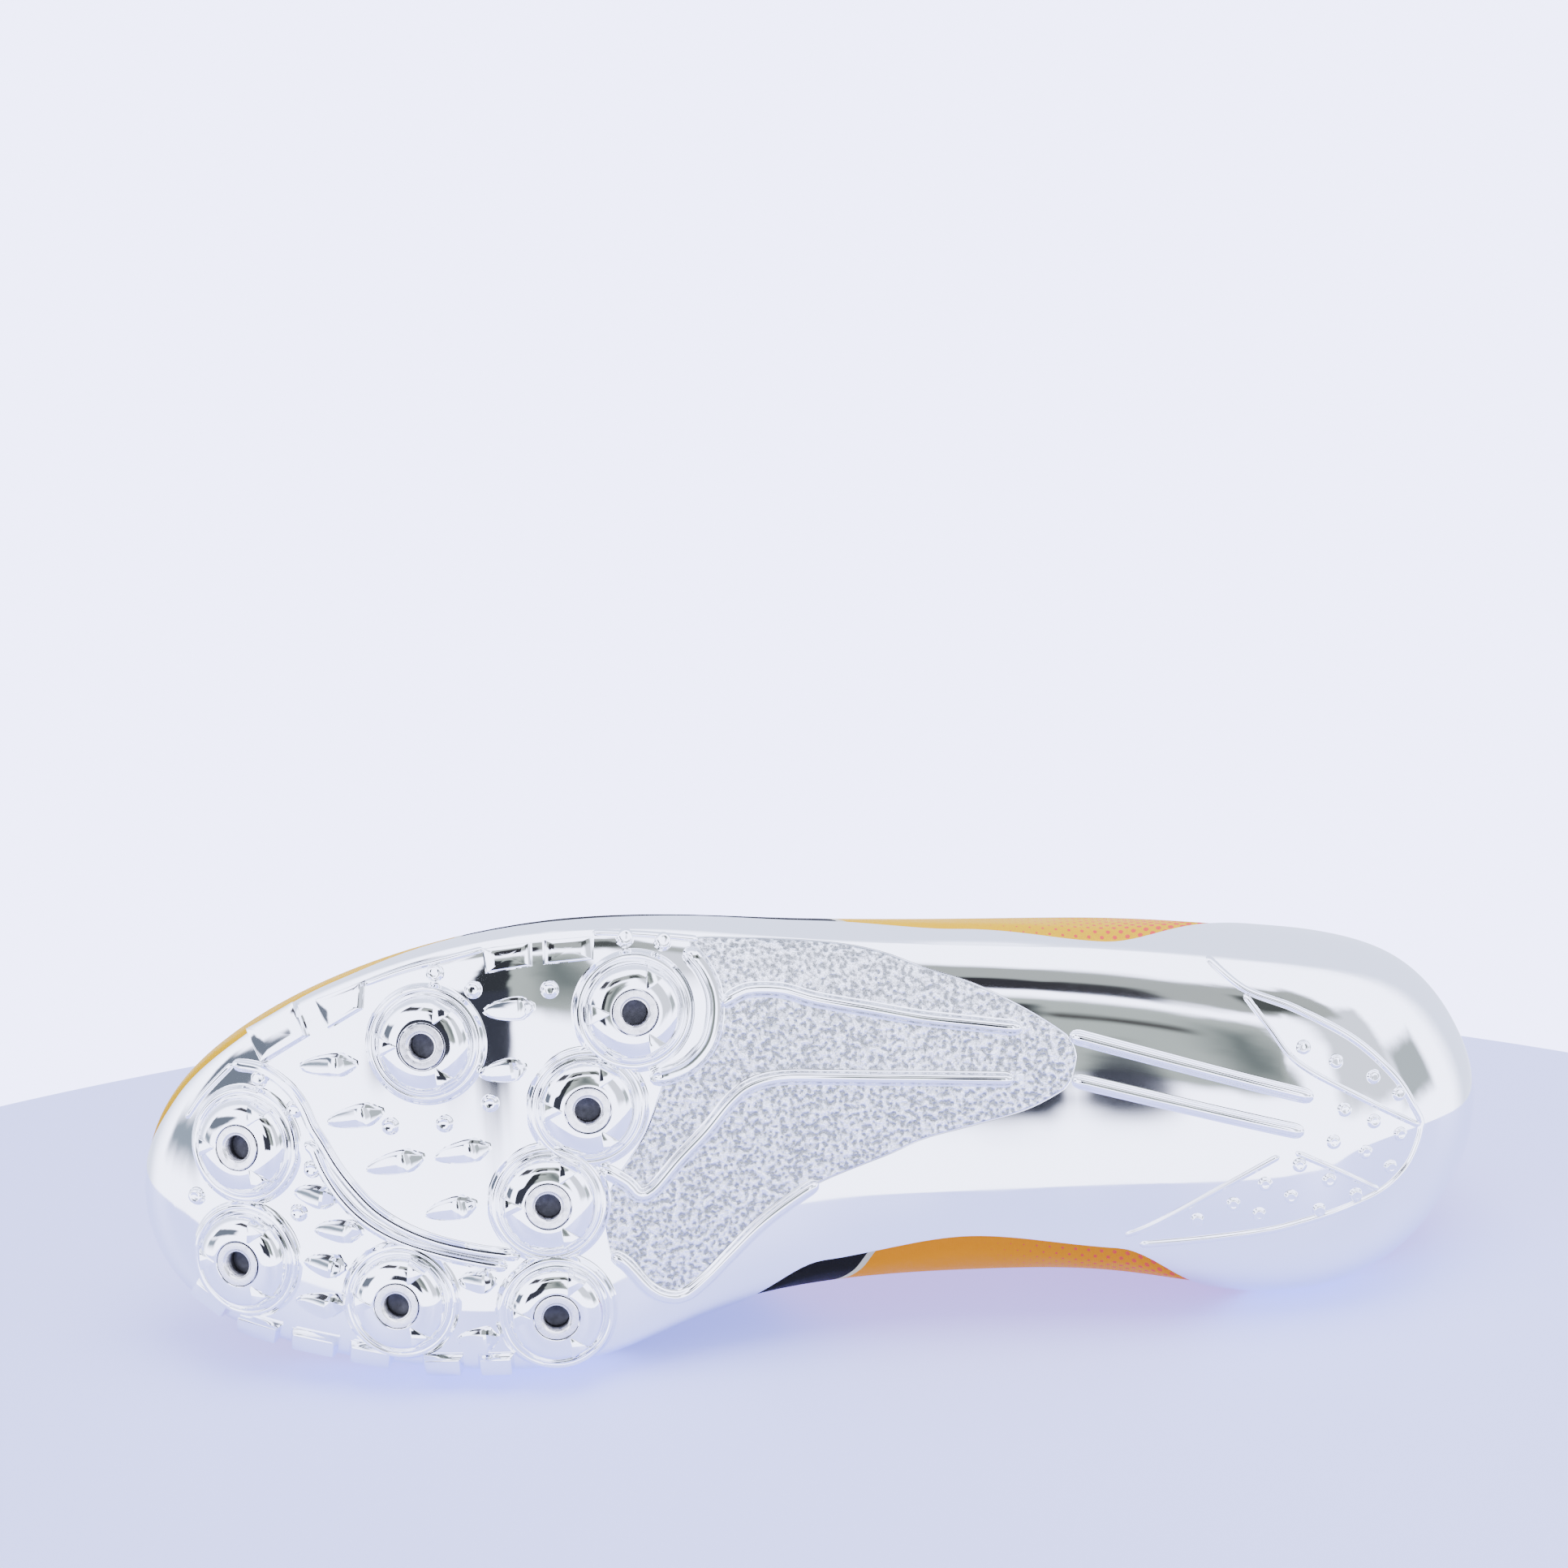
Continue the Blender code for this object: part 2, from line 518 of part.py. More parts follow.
def build_lace(collection, tools):
    """The strands; the first becomes the lace once the others are joined to it."""
    runs = [(EYELETS[-1], EYELETS[-1], 1, 2 * LACE_STEP, LACE_LIFTS[0])]
    for a, b in zip(EYELETS, EYELETS[1:]):
        runs.append((b, a, 1, 0.0, LACE_LIFTS[0]))
        runs.append((b, a, -1, LACE_STEP, LACE_LIFTS[1]))
    strands = []
    for number, run in enumerate(runs):
        bm = bmesh.new()
        strand(bm, *run)
        finish_mesh(bm)
        home = collection if number == 0 else tools
        strands.append(new_mesh("lace" if number == 0 else "strand_%d" % number, bm, home, False))
    return strands


MATERIALS = {
    # colour, metallic, roughness
    "plate_chrome": ((0.62, 0.64, 0.66), 1.0, 0.12),
    "insert_steel": ((0.55, 0.55, 0.56), 1.0, 0.30),
    "upper_knit": ((0.86, 0.66, 0.05), 0.0, 0.55),
    "insole_foam": ((0.03, 0.03, 0.035), 0.0, 0.85),
    "tongue_cloth": ((0.86, 0.40, 0.05), 0.0, 0.75),
    "lace_cord": ((0.02, 0.02, 0.02), 0.0, 0.80),
}


def paint(item, name):
    colour, metallic, roughness = MATERIALS[name]
    material = bpy.data.materials.new(item.name + "_" + name)
    material.use_nodes = True
    shader = material.node_tree.nodes["Principled BSDF"]
    shader.inputs["Base Color"].default_value = (*colour, 1.0)
    shader.inputs["Metallic"].default_value = metallic
    shader.inputs["Roughness"].default_value = roughness
    item.data.materials.clear()
    item.data.materials.append(material)


def add_boolean(item, cutter, operation):
    change = item.modifiers.new(cutter.name, "BOOLEAN")
    change.operation = operation
    change.object = cutter
    change.solver = "EXACT"
    cutter.hide_render = True
    cutter.display_type = "WIRE"


def plate_tree(plate):
    mesh = plate.data
    return BVHTree.FromPolygons([v.co for v in mesh.vertices], [p.vertices for p in mesh.polygons])


def on_plate(tree, x, y):
    """Point on the underside of the plate below (x, y), and the way out of it."""
    point, out, _, _ = tree.ray_cast(Vector((x, y, -BELOW)), Vector((0, 0, 1)))
    if point is None:
        point, out, _, _ = tree.find_nearest(Vector((x, y, profile(x))))
    return point, out


def place_percent(row):
    return row[0] * 0.01 * LENGTH, row[1] * 0.01 * HALF_WIDTH


def seat_frame(tree, seat):
    """Centre of a spike seat, and its axis and two directions across it."""
    x, y = place_percent(seat)
    centre = on_plate(tree, x, y)[0]
    out = Vector()
    near = BOSS_RADIUS * SEAT_SAMPLE / 100
    for i in range(SEAT_SAMPLES):
        angle = 2 * pi * i / SEAT_SAMPLES
        out += on_plate(tree, x + cos(angle) * near, y + sin(angle) * near)[1]
    axis = out.normalized()
    along = Vector((1, 0, 0))
    along = (along - axis * along.dot(axis)).normalized()
    return centre, axis, along, along.cross(axis)


def round_ring(frame, radius, height):
    centre, axis, along, side = frame
    return [centre + axis * height + (along * cos(2 * pi * i / SIDES) + side * sin(2 * pi * i / SIDES))
            * radius for i in range(SIDES)]


def cap(bm, ring, point):
    tip = bm.verts.new(point)
    for i in range(len(ring)):
        bm.faces.new((ring[i], ring[(i + 1) % len(ring)], tip))


def build_boss(tree, number, seat, tools):
    frame = seat_frame(tree, seat)
    centre, axis = frame[0], frame[1]
    bm = bmesh.new()
    foot = []
    for p in round_ring(frame, SEAT_RADIUS, 0):
        point, out = on_plate(tree, p.x, p.y)
        point = point - out * SINK
        foot.append(point if (p - point).dot(axis) < SEAT_DROP else p - axis * SEAT_DROP)
    pocket = INSERT_RADIUS + GAP
    rings = [foot, round_ring(frame, SEAT_RADIUS, SEAT_FOOT * 0.6)]
    for share in RING_TOP:
        rings.append(round_ring(frame, BOSS_RADIUS + (SEAT_RADIUS - BOSS_RADIUS) * share / 100, SEAT_FOOT))
    for across, high in DOME:
        radius = pocket + (BOSS_RADIUS - pocket) * across / 100
        rings.append(round_ring(frame, radius, BOSS_HEIGHT * high / 100))
    rings.append(round_ring(frame, pocket, BOSS_FLOOR))
    verts = loft(bm, rings, True)
    cap(bm, verts[0], centre - axis * SINK)
    cap(bm, verts[-1], centre + axis * BOSS_FLOOR)
    finish_mesh(bm)
    pieces = [new_mesh("boss_%d" % (number + 1), bm, tools)]
    for turn in GUSSET_TURNS:
        pieces.append(build_gusset(frame, radians(turn), "gusset_%d" % (number + 1), tools))
    return pieces


def build_gusset(frame, turn, name, tools):
    """A wedge that leans on the dome, with a flat top that runs out at the foot ring."""
    centre, axis, along, side = frame
    run = along * cos(turn) + side * sin(turn)
    wide = axis.cross(run) * GUSSET_WIDTH * 0.5
    pocket = INSERT_RADIUS + GAP
    reach = SEAT_RADIUS * GUSSET_REACH / 100
    left, right = [], []
    bm = bmesh.new()
    for out, high, share in GUSSET:
        p = centre + run * (pocket + (reach - pocket) * out / 100) + axis * BOSS_HEIGHT * high / 100
        left.append(bm.verts.new(p + wide * share / 100))
        right.append(bm.verts.new(p - wide * share / 100))
    bridge_rings(bm, left, right)
    bm.faces.new(left)
    bm.faces.new(right)
    finish_mesh(bm)
    return new_mesh(name, bm, tools, False)


def build_insert(tree, number, seat, parts):
    """A turned cup: its profile runs up the bore, over the rim, down the outside and back to the axis."""
    centre, axis, along, _ = seat_frame(tree, seat)
    low = BOSS_FLOOR + GAP
    high = BOSS_HEIGHT + INSERT_PROUD
    floor = low + HOLE_FLOOR
    profile_points = ((0, floor), (HOLE_RADIUS, floor), (HOLE_RADIUS, high), (INSERT_RADIUS, high),
                      (INSERT_RADIUS, low), (0, low))
    bm = bmesh.new()
    line = [bm.verts.new((r, 0, z)) for r, z in profile_points]
    for a, b in zip(line, line[1:]):
        bm.edges.new((a, b))
    insert = new_mesh("spike_receptacle_%d" % (number + 1), bm, parts, False)
    turned = insert.modifiers.new("turned", "SCREW")
    turned.steps = turned.render_steps = SIDES
    turned.use_merge_vertices = True
    turned.merge_threshold = 0.00001
    turned.use_smooth_shade = False
    turned.use_normal_calculate = True
    turned.use_normal_flip = True
    across = axis.cross(along)
    insert.matrix_world = Matrix.Translation(centre) @ Matrix((along, across, axis)).transposed().to_4x4()
    return insert


def build_prism(tree, name, corners, height, keep, tools, tip=None):
    """A raised shape on the plate. keep: percent of its outline on top; tip makes a point."""
    base, top = [], []
    for x, y in corners:
        point, out = on_plate(tree, x, y)
        base.append(point - out * SINK)
        top.append(point + out * height)
    middle = sum(top, Vector()) / len(top)
    bm = bmesh.new()
    low = [bm.verts.new(p) for p in base]
    bm.faces.new(low)
    if tip is None:
        high = [bm.verts.new(middle + (p - middle) * keep / 100) for p in top]
        for i in range(len(low)):
            j = (i + 1) % len(low)
            bm.faces.new((low[i], low[j], high[j], high[i]))
        bm.faces.new(high)
    else:
        point, out = on_plate(tree, tip[0], tip[1])
        cap(bm, low, point + out * height)
    finish_mesh(bm)
    bmesh.ops.triangulate(bm, faces=bm.faces)
    return new_mesh(name, bm, tools, False)


def build_tooth(tree, number, row, tools):
    tip = Vector(place_percent(row[:2]))
    rear = Vector(place_percent(row[2:]))
    run = rear - tip
    side = Vector((-run.y, run.x)).normalized() * TOOTH_WIDTH * 0.5
    belly = tip + run * TOOTH_BELLY / 100
    corners = [tip, belly + side, rear, belly - side]
    top = tip + run * TOOTH_TIP / 100
    return build_prism(tree, "tooth_%d" % number, corners, TOOTH_HEIGHT, 0, tools, top)


def build_lug(tree, number, row, tools):
    x, y = place_percent(row)
    half = row[2] * 0.005 * LENGTH
    turn = radians(row[3])
    run = Vector((-cos(turn), -sin(turn))) * half
    side = Vector((sin(turn), -cos(turn))) * LUG_WIDTH * 0.5
    middle = Vector((x, y))
    corners = [middle - run - side, middle + run - side, middle + run + side, middle - run + side]
    return build_prism(tree, "lug_%d" % number, corners, LUG_HEIGHT, LUG_TOP, tools)


def build_ridge(tree, name, path, width, height, tools):
    """A ridge with sloping sides along points on the plate."""
    points = [Vector(place_percent(row)) for row in path]
    bm = bmesh.new()
    loops = []
    for i, p in enumerate(points):
        ahead = points[min(i + 1, len(points) - 1)]
        behind = points[max(i - 1, 0)]
        run = (ahead - behind).normalized()
        side = Vector((-run.y, run.x))
        loop = []
        for across, up in ((-100, -SINK), (-RIDGE_TOP, height), (RIDGE_TOP, height), (100, -SINK)):
            q = p + side * width * across / 200
            point, out = on_plate(tree, q.x, q.y)
            loop.append(point + out * up)
        loops.append(loop)
    verts = loft(bm, loops, True)
    bm.faces.new(verts[0])
    bm.faces.new(verts[-1])
    finish_mesh(bm)
    bmesh.ops.triangulate(bm, faces=bm.faces)
    return new_mesh(name, bm, tools, False)


def build_features(tree, tools):
    """Everything that is moulded onto the plate."""
    pieces = []
    for number, seat in enumerate(SEATS):
        pieces += build_boss(tree, number, seat, tools)
    for number, row in enumerate(TEETH):
        pieces.append(build_tooth(tree, number + 1, row, tools))
    for number, row in enumerate(LUGS):
        pieces.append(build_lug(tree, number + 1, row, tools))
    for number, corners in enumerate(BLOCKS):
        corners = [place_percent(row) for row in corners]
        pieces.append(build_prism(tree, "block_%d" % (number + 1), corners, BLOCK_HEIGHT, BLOCK_TOP, tools))
    lines = ((RIDGES, RIDGE_WIDTH, RIDGE_HEIGHT), (RIBS, RIB_WIDTH, RIB_HEIGHT),
             (WALLS, WALL_WIDTH, WALL_HEIGHT), (HEEL_LINES, HEEL_LINE_WIDTH, HEEL_LINE_HEIGHT))
    for paths, width, height in lines:
        for number, path in enumerate(paths):
            pieces.append(build_ridge(tree, "ridge_%d" % (number + 1), path, width, height, tools))
    return pieces


UPRIGHT = 0.7                                 # the side that it lies on faces sideways by this much
HULL_WELD = 0.0002


def resting_pose(items):
    """The turn and move that lay the shoe on its medial side, as it comes to rest."""
    shown = bpy.context.evaluated_depsgraph_get()
    hull = bmesh.new()
    points = []
    total, centre = 0.0, Vector()
    for item in items:
        mesh = item.evaluated_get(shown).to_mesh()
        mesh.transform(item.matrix_world)
        points += [v.co.copy() for v in mesh.vertices]
        mesh.calc_loop_triangles()
        for tri in mesh.loop_triangles:
            a, b, c = (mesh.vertices[i].co for i in tri.vertices)
            volume = a.dot(b.cross(c)) / 6
            total += volume
            centre += (a + b + c) / 4 * volume
        item.evaluated_get(shown).to_mesh_clear()
    for point in points:
        hull.verts.new(point)
    centre /= total
    bmesh.ops.remove_doubles(hull, verts=hull.verts, dist=HULL_WELD)
    result = bmesh.ops.convex_hull(hull, input=hull.verts)
    best, lowest = None, 1.0
    for face in result["geom"]:
        if not isinstance(face, bmesh.types.BMFace):
            continue
        a, b, c = (v.co for v in face.verts[:3])
        n = (b - a).cross(c - a).normalized()
        if n.dot(a - centre) < 0:
            n = -n
        foot = centre + n * n.dot(a - centre)
        inside = [(q - p).cross(foot - p).dot(n) for p, q in ((a, b), (b, c), (c, a))]
        height = n.dot(a - centre)
        if (min(inside) >= 0 or max(inside) <= 0) and n.y < -UPRIGHT and height < lowest:
            best, lowest = n, height
    hull.free()
    up = -best
    away = (Vector((0, 0, 1)) - up * up.z).normalized()
    right = away.cross(up)
    turn = Matrix((right, away, up)).to_4x4()
    points = [turn @ point for point in points]
    low = Vector([min(p[i] for p in points) for i in range(3)])
    high = Vector([max(p[i] for p in points) for i in range(3)])
    move = Vector((-(low.x + high.x) / 2, -(low.y + high.y) / 2, -low.z))
    return Matrix.Translation(move) @ turn


def main():
    for item in list(bpy.data.objects):
        bpy.data.objects.remove(item)
    parts = bpy.data.collections.new(SCENE_NAME)
    tools = bpy.data.collections.new("cutters")
    bpy.context.scene.collection.children.link(parts)
    bpy.context.scene.collection.children.link(tools)
    plate = build_plate_shell(parts)
    tree = plate_tree(plate)
    features = build_features(tree, tools)
    upper = build_upper(parts)
    insole = build_insole(parts)
    tongue = build_tongue(parts)
    strands = build_lace(parts, tools)
    inserts = [build_insert(tree, number, seat, parts) for number, seat in enumerate(SEATS)]
    for item, material in ((plate, "plate_chrome"), (upper, "upper_knit"), (insole, "insole_foam"),
                           (tongue, "tongue_cloth"), (strands[0], "lace_cord")):
        paint(item, material)
    for insert in inserts:
        paint(insert, "insert_steel")
    pose = resting_pose([plate, upper, insole, tongue] + inserts + features + strands)
    for item, others in ((plate, features), (strands[0], strands[1:])):
        for other in others:
            add_boolean(item, other, "UNION")
    stand = bpy.data.objects.new("shoe", None)
    parts.objects.link(stand)
    stand.matrix_world = pose
    for item in list(parts.objects) + list(tools.objects):
        if item is not stand:
            item.parent = stand


main()
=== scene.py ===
# %% [markdown]
# # A sprint shoe with a plated sole
#
# The imported model comes in first. It is the fixed frame: every piece below is made in its place
# and in metres.

# %% Load the imported model
from math import cos, degrees, hypot, pi, radians, sin

import bpy
import numpy as np
from mathutils import Euler, Matrix, Vector
from mathutils.bvhtree import BVHTree
from mathutils.interpolate import poly_3d_calc


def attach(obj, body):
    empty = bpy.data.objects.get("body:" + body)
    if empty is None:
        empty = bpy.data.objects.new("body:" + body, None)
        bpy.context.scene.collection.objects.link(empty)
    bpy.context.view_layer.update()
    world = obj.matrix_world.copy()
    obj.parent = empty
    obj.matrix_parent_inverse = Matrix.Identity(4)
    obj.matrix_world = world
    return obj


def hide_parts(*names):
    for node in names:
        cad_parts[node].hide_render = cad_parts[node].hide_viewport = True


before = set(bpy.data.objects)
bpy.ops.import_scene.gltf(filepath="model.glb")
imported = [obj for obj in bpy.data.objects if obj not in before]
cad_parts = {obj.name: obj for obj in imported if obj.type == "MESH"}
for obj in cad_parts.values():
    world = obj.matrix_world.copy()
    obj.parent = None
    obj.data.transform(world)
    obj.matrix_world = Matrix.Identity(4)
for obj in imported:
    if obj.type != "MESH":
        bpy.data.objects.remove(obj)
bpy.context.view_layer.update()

# %% [markdown]
# A shoe is built round a last, a solid foot shape. This last is a table of meridians, lines that
# run from under the foot up the side to the top edge, from the heel round the toe and back.
# Working from the same table as the solids keeps every piece of cloth and plate in its place.

# %% Sizes of the last
LENGTH = 0.2765
HALF_WIDTH = 0.050
TOE_SPRING = 0.0195
ARCH_RISE = 0.0062
SIDE_RISE = 0.026
COLLAR_HEIGHT = 0.068
PLATE_WALL = 0.0018
UPPER_WALL = 0.0013
BAND_STEP = 0.0008
GAP = 0.0003
INSOLE_THICK = 0.003
INSOLE_LIFT = 0.0018
TONGUE_THICK = 0.0028
TONGUE_EASE = 0.0002
HEEL_CENTRE = 0.145
TOE_CENTRE = 0.830
AXIS_Y = -0.08

# x and top_x in percent of LENGTH, y and top_y in percent of HALF_WIDTH, rise of SIDE_RISE,
# top_z of COLLAR_HEIGHT; lean in degrees
MERIDIANS = (
    # x      y    rise  square edge  top_x  top_y  top_z  lean  low   high
    ( -0.9,   -8,  100,  2.4,  1.34,   2.6,   -8,  100,   4,  0.34,  0.30),
    (  0.4,   27,  100,  2.4,  1.30,   4.4,   23,   97,   4,  0.34,  0.30),
    (  5.7,   59,  100,  2.5,  1.20,  10.0,   46,   89,   6,  0.34,  0.30),
    ( 16.0,   73,   96,  2.6,  1.00,  18.5,   55,   83,   8,  0.36,  0.30),
    ( 27.0,   79,   88,  2.9,  0.68,  27.5,   54,   87,  16,  0.38,  0.30),
    ( 38.0,   81,   76,  3.0,  0.80,  36.5,   34,  101,  40,  0.40,  0.30),
    ( 49.0,   84,   68,  3.1,  0.92,  44.5,   19,  105,  54,  0.42,  0.30),
    ( 58.0,   89,   60,  3.8,  0.94,  52.0,   17,   96,  58,  0.40,  0.30),
    ( 67.0,   91,   55,  5.4,  0.92,  59.0,   15,   86,  62,  0.36,  0.30),
    ( 76.0,   85,   52,  6.0,  0.92,  65.0,   12,   78,  66,  0.30,  0.30),
    ( 85.0,   70,   52,  5.6,  0.78,  68.4,    7,   74,  71,  0.24,  0.31),
    ( 92.7,   48,   52,  4.6,  0.70,  69.8,    1,   73,  75,  0.18,  0.32),
    ( 98.3,   20,   54,  3.8,  0.74,  70.3,   -4,   73,  78,  0.14,  0.33),
    (100.8,  -14,   54,  3.6,  0.84,  70.4,   -9,   73,  79,  0.13,  0.33),
    ( 99.6,  -50,   54,  3.8,  0.92,  70.3,  -14,   73,  78,  0.14,  0.33),
    ( 94.2,  -76,   52,  4.6,  0.96,  69.8,  -19,   73,  75,  0.18,  0.32),
    ( 85.3,  -90,   52,  5.6,  1.03,  68.4,  -25,   74,  71,  0.25,  0.31),
    ( 76.0,  -96,   52,  6.0,  1.08,  65.0,  -30,   78,  66,  0.32,  0.30),
    ( 67.0,  -94,   55,  5.4,  1.04,  59.0,  -33,   86,  62,  0.38,  0.30),
    ( 58.0,  -79,   60,  3.8,  0.88,  52.0,  -35,   96,  58,  0.40,  0.30),
    ( 49.0,  -71,   68,  3.0,  0.47,  44.5,  -37,  105,  52,  0.42,  0.30),
    ( 38.0,  -69,   76,  3.0,  0.36,  36.5,  -46,  101,  34,  0.40,  0.30),
    ( 27.0,  -72,   88,  2.9,  0.45,  27.5,  -62,   87,   8,  0.38,  0.30),
    ( 16.0,  -82,   96,  2.6,  1.02,  18.5,  -66,   83,   5,  0.36,  0.30),
    (  7.2,  -73,  100,  2.5,  1.20,  10.0,  -56,   89,   4,  0.34,  0.30),
    (  1.5,  -44,  100,  2.4,  1.30,   4.4,  -35,   97,   4,  0.34,  0.30),
)
AROUND = len(MERIDIANS)

# The sole's side view: share of LENGTH, share of TOE_SPRING, share of ARCH_RISE
PROFILE = (
    (0.00, 0.00, 0.35), (0.07, 0.00, 0.10), (0.16, 0.00, 0.00), (0.30, 0.00, 0.50),
    (0.45, 0.00, 1.00), (0.56, 0.00, 0.62), (0.66, 0.02, 0.08), (0.72, 0.03, 0.00),
    (0.80, 0.165, 0.0), (0.88, 0.41, 0.00), (0.94, 0.66, 0.00), (1.00, 1.00, 0.00),
)

# %% [markdown]
# Between the table's rows a cubic spline gives the last a continuous curve, which matters on a
# mirror finish: the eye reads every kink in a reflection. numpy works out thousands of points
# in one go.

# %% Read the table between its rows
TABLE = np.array(MERIDIANS, float)


def spline_slopes(table):
    """Slopes of the closed cubic spline through evenly spaced rows."""
    count = len(table)
    system = 4 * np.eye(count) + np.roll(np.eye(count), 1, 0) + np.roll(np.eye(count), -1, 0)
    return np.linalg.solve(system, 3 * (np.roll(table, -1, 0) - np.roll(table, 1, 0)))


SLOPES = spline_slopes(TABLE)


def hermite(t, a, slope_a, b, slope_b):
    return ((2 * t ** 3 - 3 * t ** 2 + 1) * a + (t ** 3 - 2 * t ** 2 + t) * slope_a
            + (3 * t ** 2 - 2 * t ** 3) * b + (t ** 3 - t ** 2) * slope_b)


def read_rows(u):
    u = np.asarray(u, float) % AROUND
    i = np.floor(u).astype(int) % AROUND
    j = (i + 1) % AROUND
    t = (u - np.floor(u))[..., None]
    return hermite(t, TABLE[i], SLOPES[i], TABLE[j], SLOPES[j])


def plate_edge(u):
    """Where the plate ends on meridian u, on the same scale as q in last()."""
    u = np.asarray(u, float) % AROUND
    i = np.floor(u).astype(int) % AROUND
    t = u - np.floor(u)
    return TABLE[i, 4] + (TABLE[(i + 1) % AROUND, 4] - TABLE[i, 4]) * t * t * (3 - 2 * t)


# %% Height of the sole along the shoe
SHARES = np.array([row[0] for row in PROFILE])
HEIGHTS = np.array([row[1] * TOE_SPRING + row[2] * ARCH_RISE for row in PROFILE])
TILTS = np.gradient(HEIGHTS, SHARES)


def profile(x):
    s = np.asarray(x, float) / LENGTH
    i = np.clip(np.searchsorted(SHARES, s) - 1, 0, len(SHARES) - 2)
    span = SHARES[i + 1] - SHARES[i]
    inside = hermite((s - SHARES[i]) / span, HEIGHTS[i], span * TILTS[i], HEIGHTS[i + 1],
                     span * TILTS[i + 1])
    before = HEIGHTS[0] + TILTS[0] * s
    after = HEIGHTS[-1] + TILTS[-1] * (s - 1)
    return np.where(s <= 0, before, np.where(s >= 1, after, inside))


# %% Points and normals of the last
FLAT_REACH = 0.02


def unit(way):
    return way / np.linalg.norm(way)


def last(u, q):
    """Outside of the shoe on meridian u: q 0 under the foot, 1 widest, 2 at the top edge."""
    u, q = np.broadcast_arrays(np.asarray(u, float), np.asarray(q, float))
    row = read_rows(u)
    x, y, rise, square, _, top_x, top_y, top_z, lean, low, high = np.moveaxis(row, -1, 0)
    x, top_x = x * LENGTH / 100, top_x * LENGTH / 100
    y, top_y = y * HALF_WIDTH / 100, top_y * HALF_WIDTH / 100
    rise, top_z = rise * SIDE_RISE / 100, top_z * COLLAR_HEIGHT / 100
    mirror_x = read_rows(AROUND - u)[..., 0] * LENGTH / 100
    middle_x = np.clip((x + mirror_x) / 2, HEEL_CENTRE * LENGTH, TOE_CENTRE * LENGTH)
    middle_y = AXIS_Y * HALF_WIDTH
    turn = np.clip(q, 0, 1) * pi / 2
    share = np.sin(turn) ** (2 / square)
    under_x = middle_x + (x - middle_x) * share
    under_y = middle_y + (y - middle_y) * share
    under_z = profile(under_x) + rise * (1 - np.clip(np.cos(turn), 0, 1) ** (2 / square))
    under = np.stack((under_x, under_y, under_z), -1)
    wide = np.stack((x, y, profile(x) + rise), -1)
    top = np.stack((top_x, top_y, top_z), -1)
    chord = np.linalg.norm(top - wide, axis=-1)[..., None]
    inward = (top - wide) * (1, 1, 0)
    reach = np.linalg.norm(inward, axis=-1)[..., None]
    flat = np.stack((middle_x - x, middle_y - y, 0 * x), -1)
    flat = flat / np.linalg.norm(flat, axis=-1)[..., None]
    flat = np.where(reach > FLAT_REACH, inward / np.maximum(reach, 1e-9), flat)
    lean = np.radians(lean)[..., None]
    tangent = flat * np.sin(lean) + np.array((0, 0, 1)) * np.cos(lean)
    one = wide + np.array((0, 0, 1)) * low[..., None] * chord
    two = top - tangent * high[..., None] * chord
    t = np.clip(q - 1, 0, 1)[..., None]
    side = wide * (1 - t) ** 3 + one * 3 * t * (1 - t) ** 2 + two * 3 * t * t * (1 - t) + top * t ** 3
    return np.where((q <= 1)[..., None], under, side)


def normal(u, q):
    """Outward normal of last()."""
    u, q = np.broadcast_arrays(np.asarray(u, float), np.asarray(q, float))
    low, high = q - 0.01, q + 0.01
    high = np.where((q < 1) & (high > 1), 1, high)
    low = np.where((low < 1) & (q >= 1), 1, low)
    around = last(u + 0.02, q) - last(u - 0.02, q)
    along = last(u, np.minimum(high, 2)) - last(u, low)
    out = -np.cross(around, along)
    out = out / np.maximum(np.linalg.norm(out, axis=-1), 1e-12)[..., None]
    x = last(u, 0 * q)[..., 0]
    slope = (profile(x + 0.0005) - profile(x - 0.0005)) / 0.001
    under = np.stack((slope, 0 * slope, -1 + 0 * slope), -1)
    under = under / np.linalg.norm(under, axis=-1)[..., None]
    return np.where((q < 0.02)[..., None], under, out)


def skin(u, q, depth):
    return last(u, q) - normal(u, q) * np.asarray(depth)[..., None]


# %% [markdown]
# The shoe is shaped upright and laid on its side at the end, as a designer would do it. The turn
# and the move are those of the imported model. A finished mesh keeps its place in its own points,
# and its object stays at the origin.

# %% How the shoe lies
LAY_TURN = (-74.043567, -178.462543, -0.439531)
LAY_MOVE = (0.1380082, -0.0347563, 0.0458723)
LAID = Matrix.Translation(LAY_MOVE) @ Euler([radians(a) for a in LAY_TURN], "XYZ").to_matrix().to_4x4()


def grid_piece(name, points, closed=False):
    """A grid primitive whose points are set in place, row by row; closed joins its two sides."""
    bpy.ops.object.select_all(action="DESELECT")
    points = np.asarray(points, float)
    if closed:
        points = np.concatenate((points, points[:, :1]), 1)
    rows, columns = points.shape[:2]
    bpy.ops.mesh.primitive_grid_add(x_subdivisions=columns - 1, y_subdivisions=rows - 1, size=1)
    piece = bpy.context.object
    piece.name = piece.data.name = name
    piece.data.vertices.foreach_set("co", points.astype(np.float32).ravel())
    return piece


def select_only(piece):
    bpy.ops.object.select_all(action="DESELECT")
    piece.select_set(True)
    bpy.context.view_layer.objects.active = piece


def edit(piece, *steps):
    """Runs edit-mode operators on the whole piece."""
    select_only(piece)
    bpy.ops.object.mode_set(mode="EDIT")
    bpy.ops.mesh.select_all(action="SELECT")
    for step in steps:
        step()
    bpy.ops.object.mode_set(mode="OBJECT")


def even_normals(piece):
    edit(piece, lambda: bpy.ops.mesh.normals_make_consistent(inside=False))


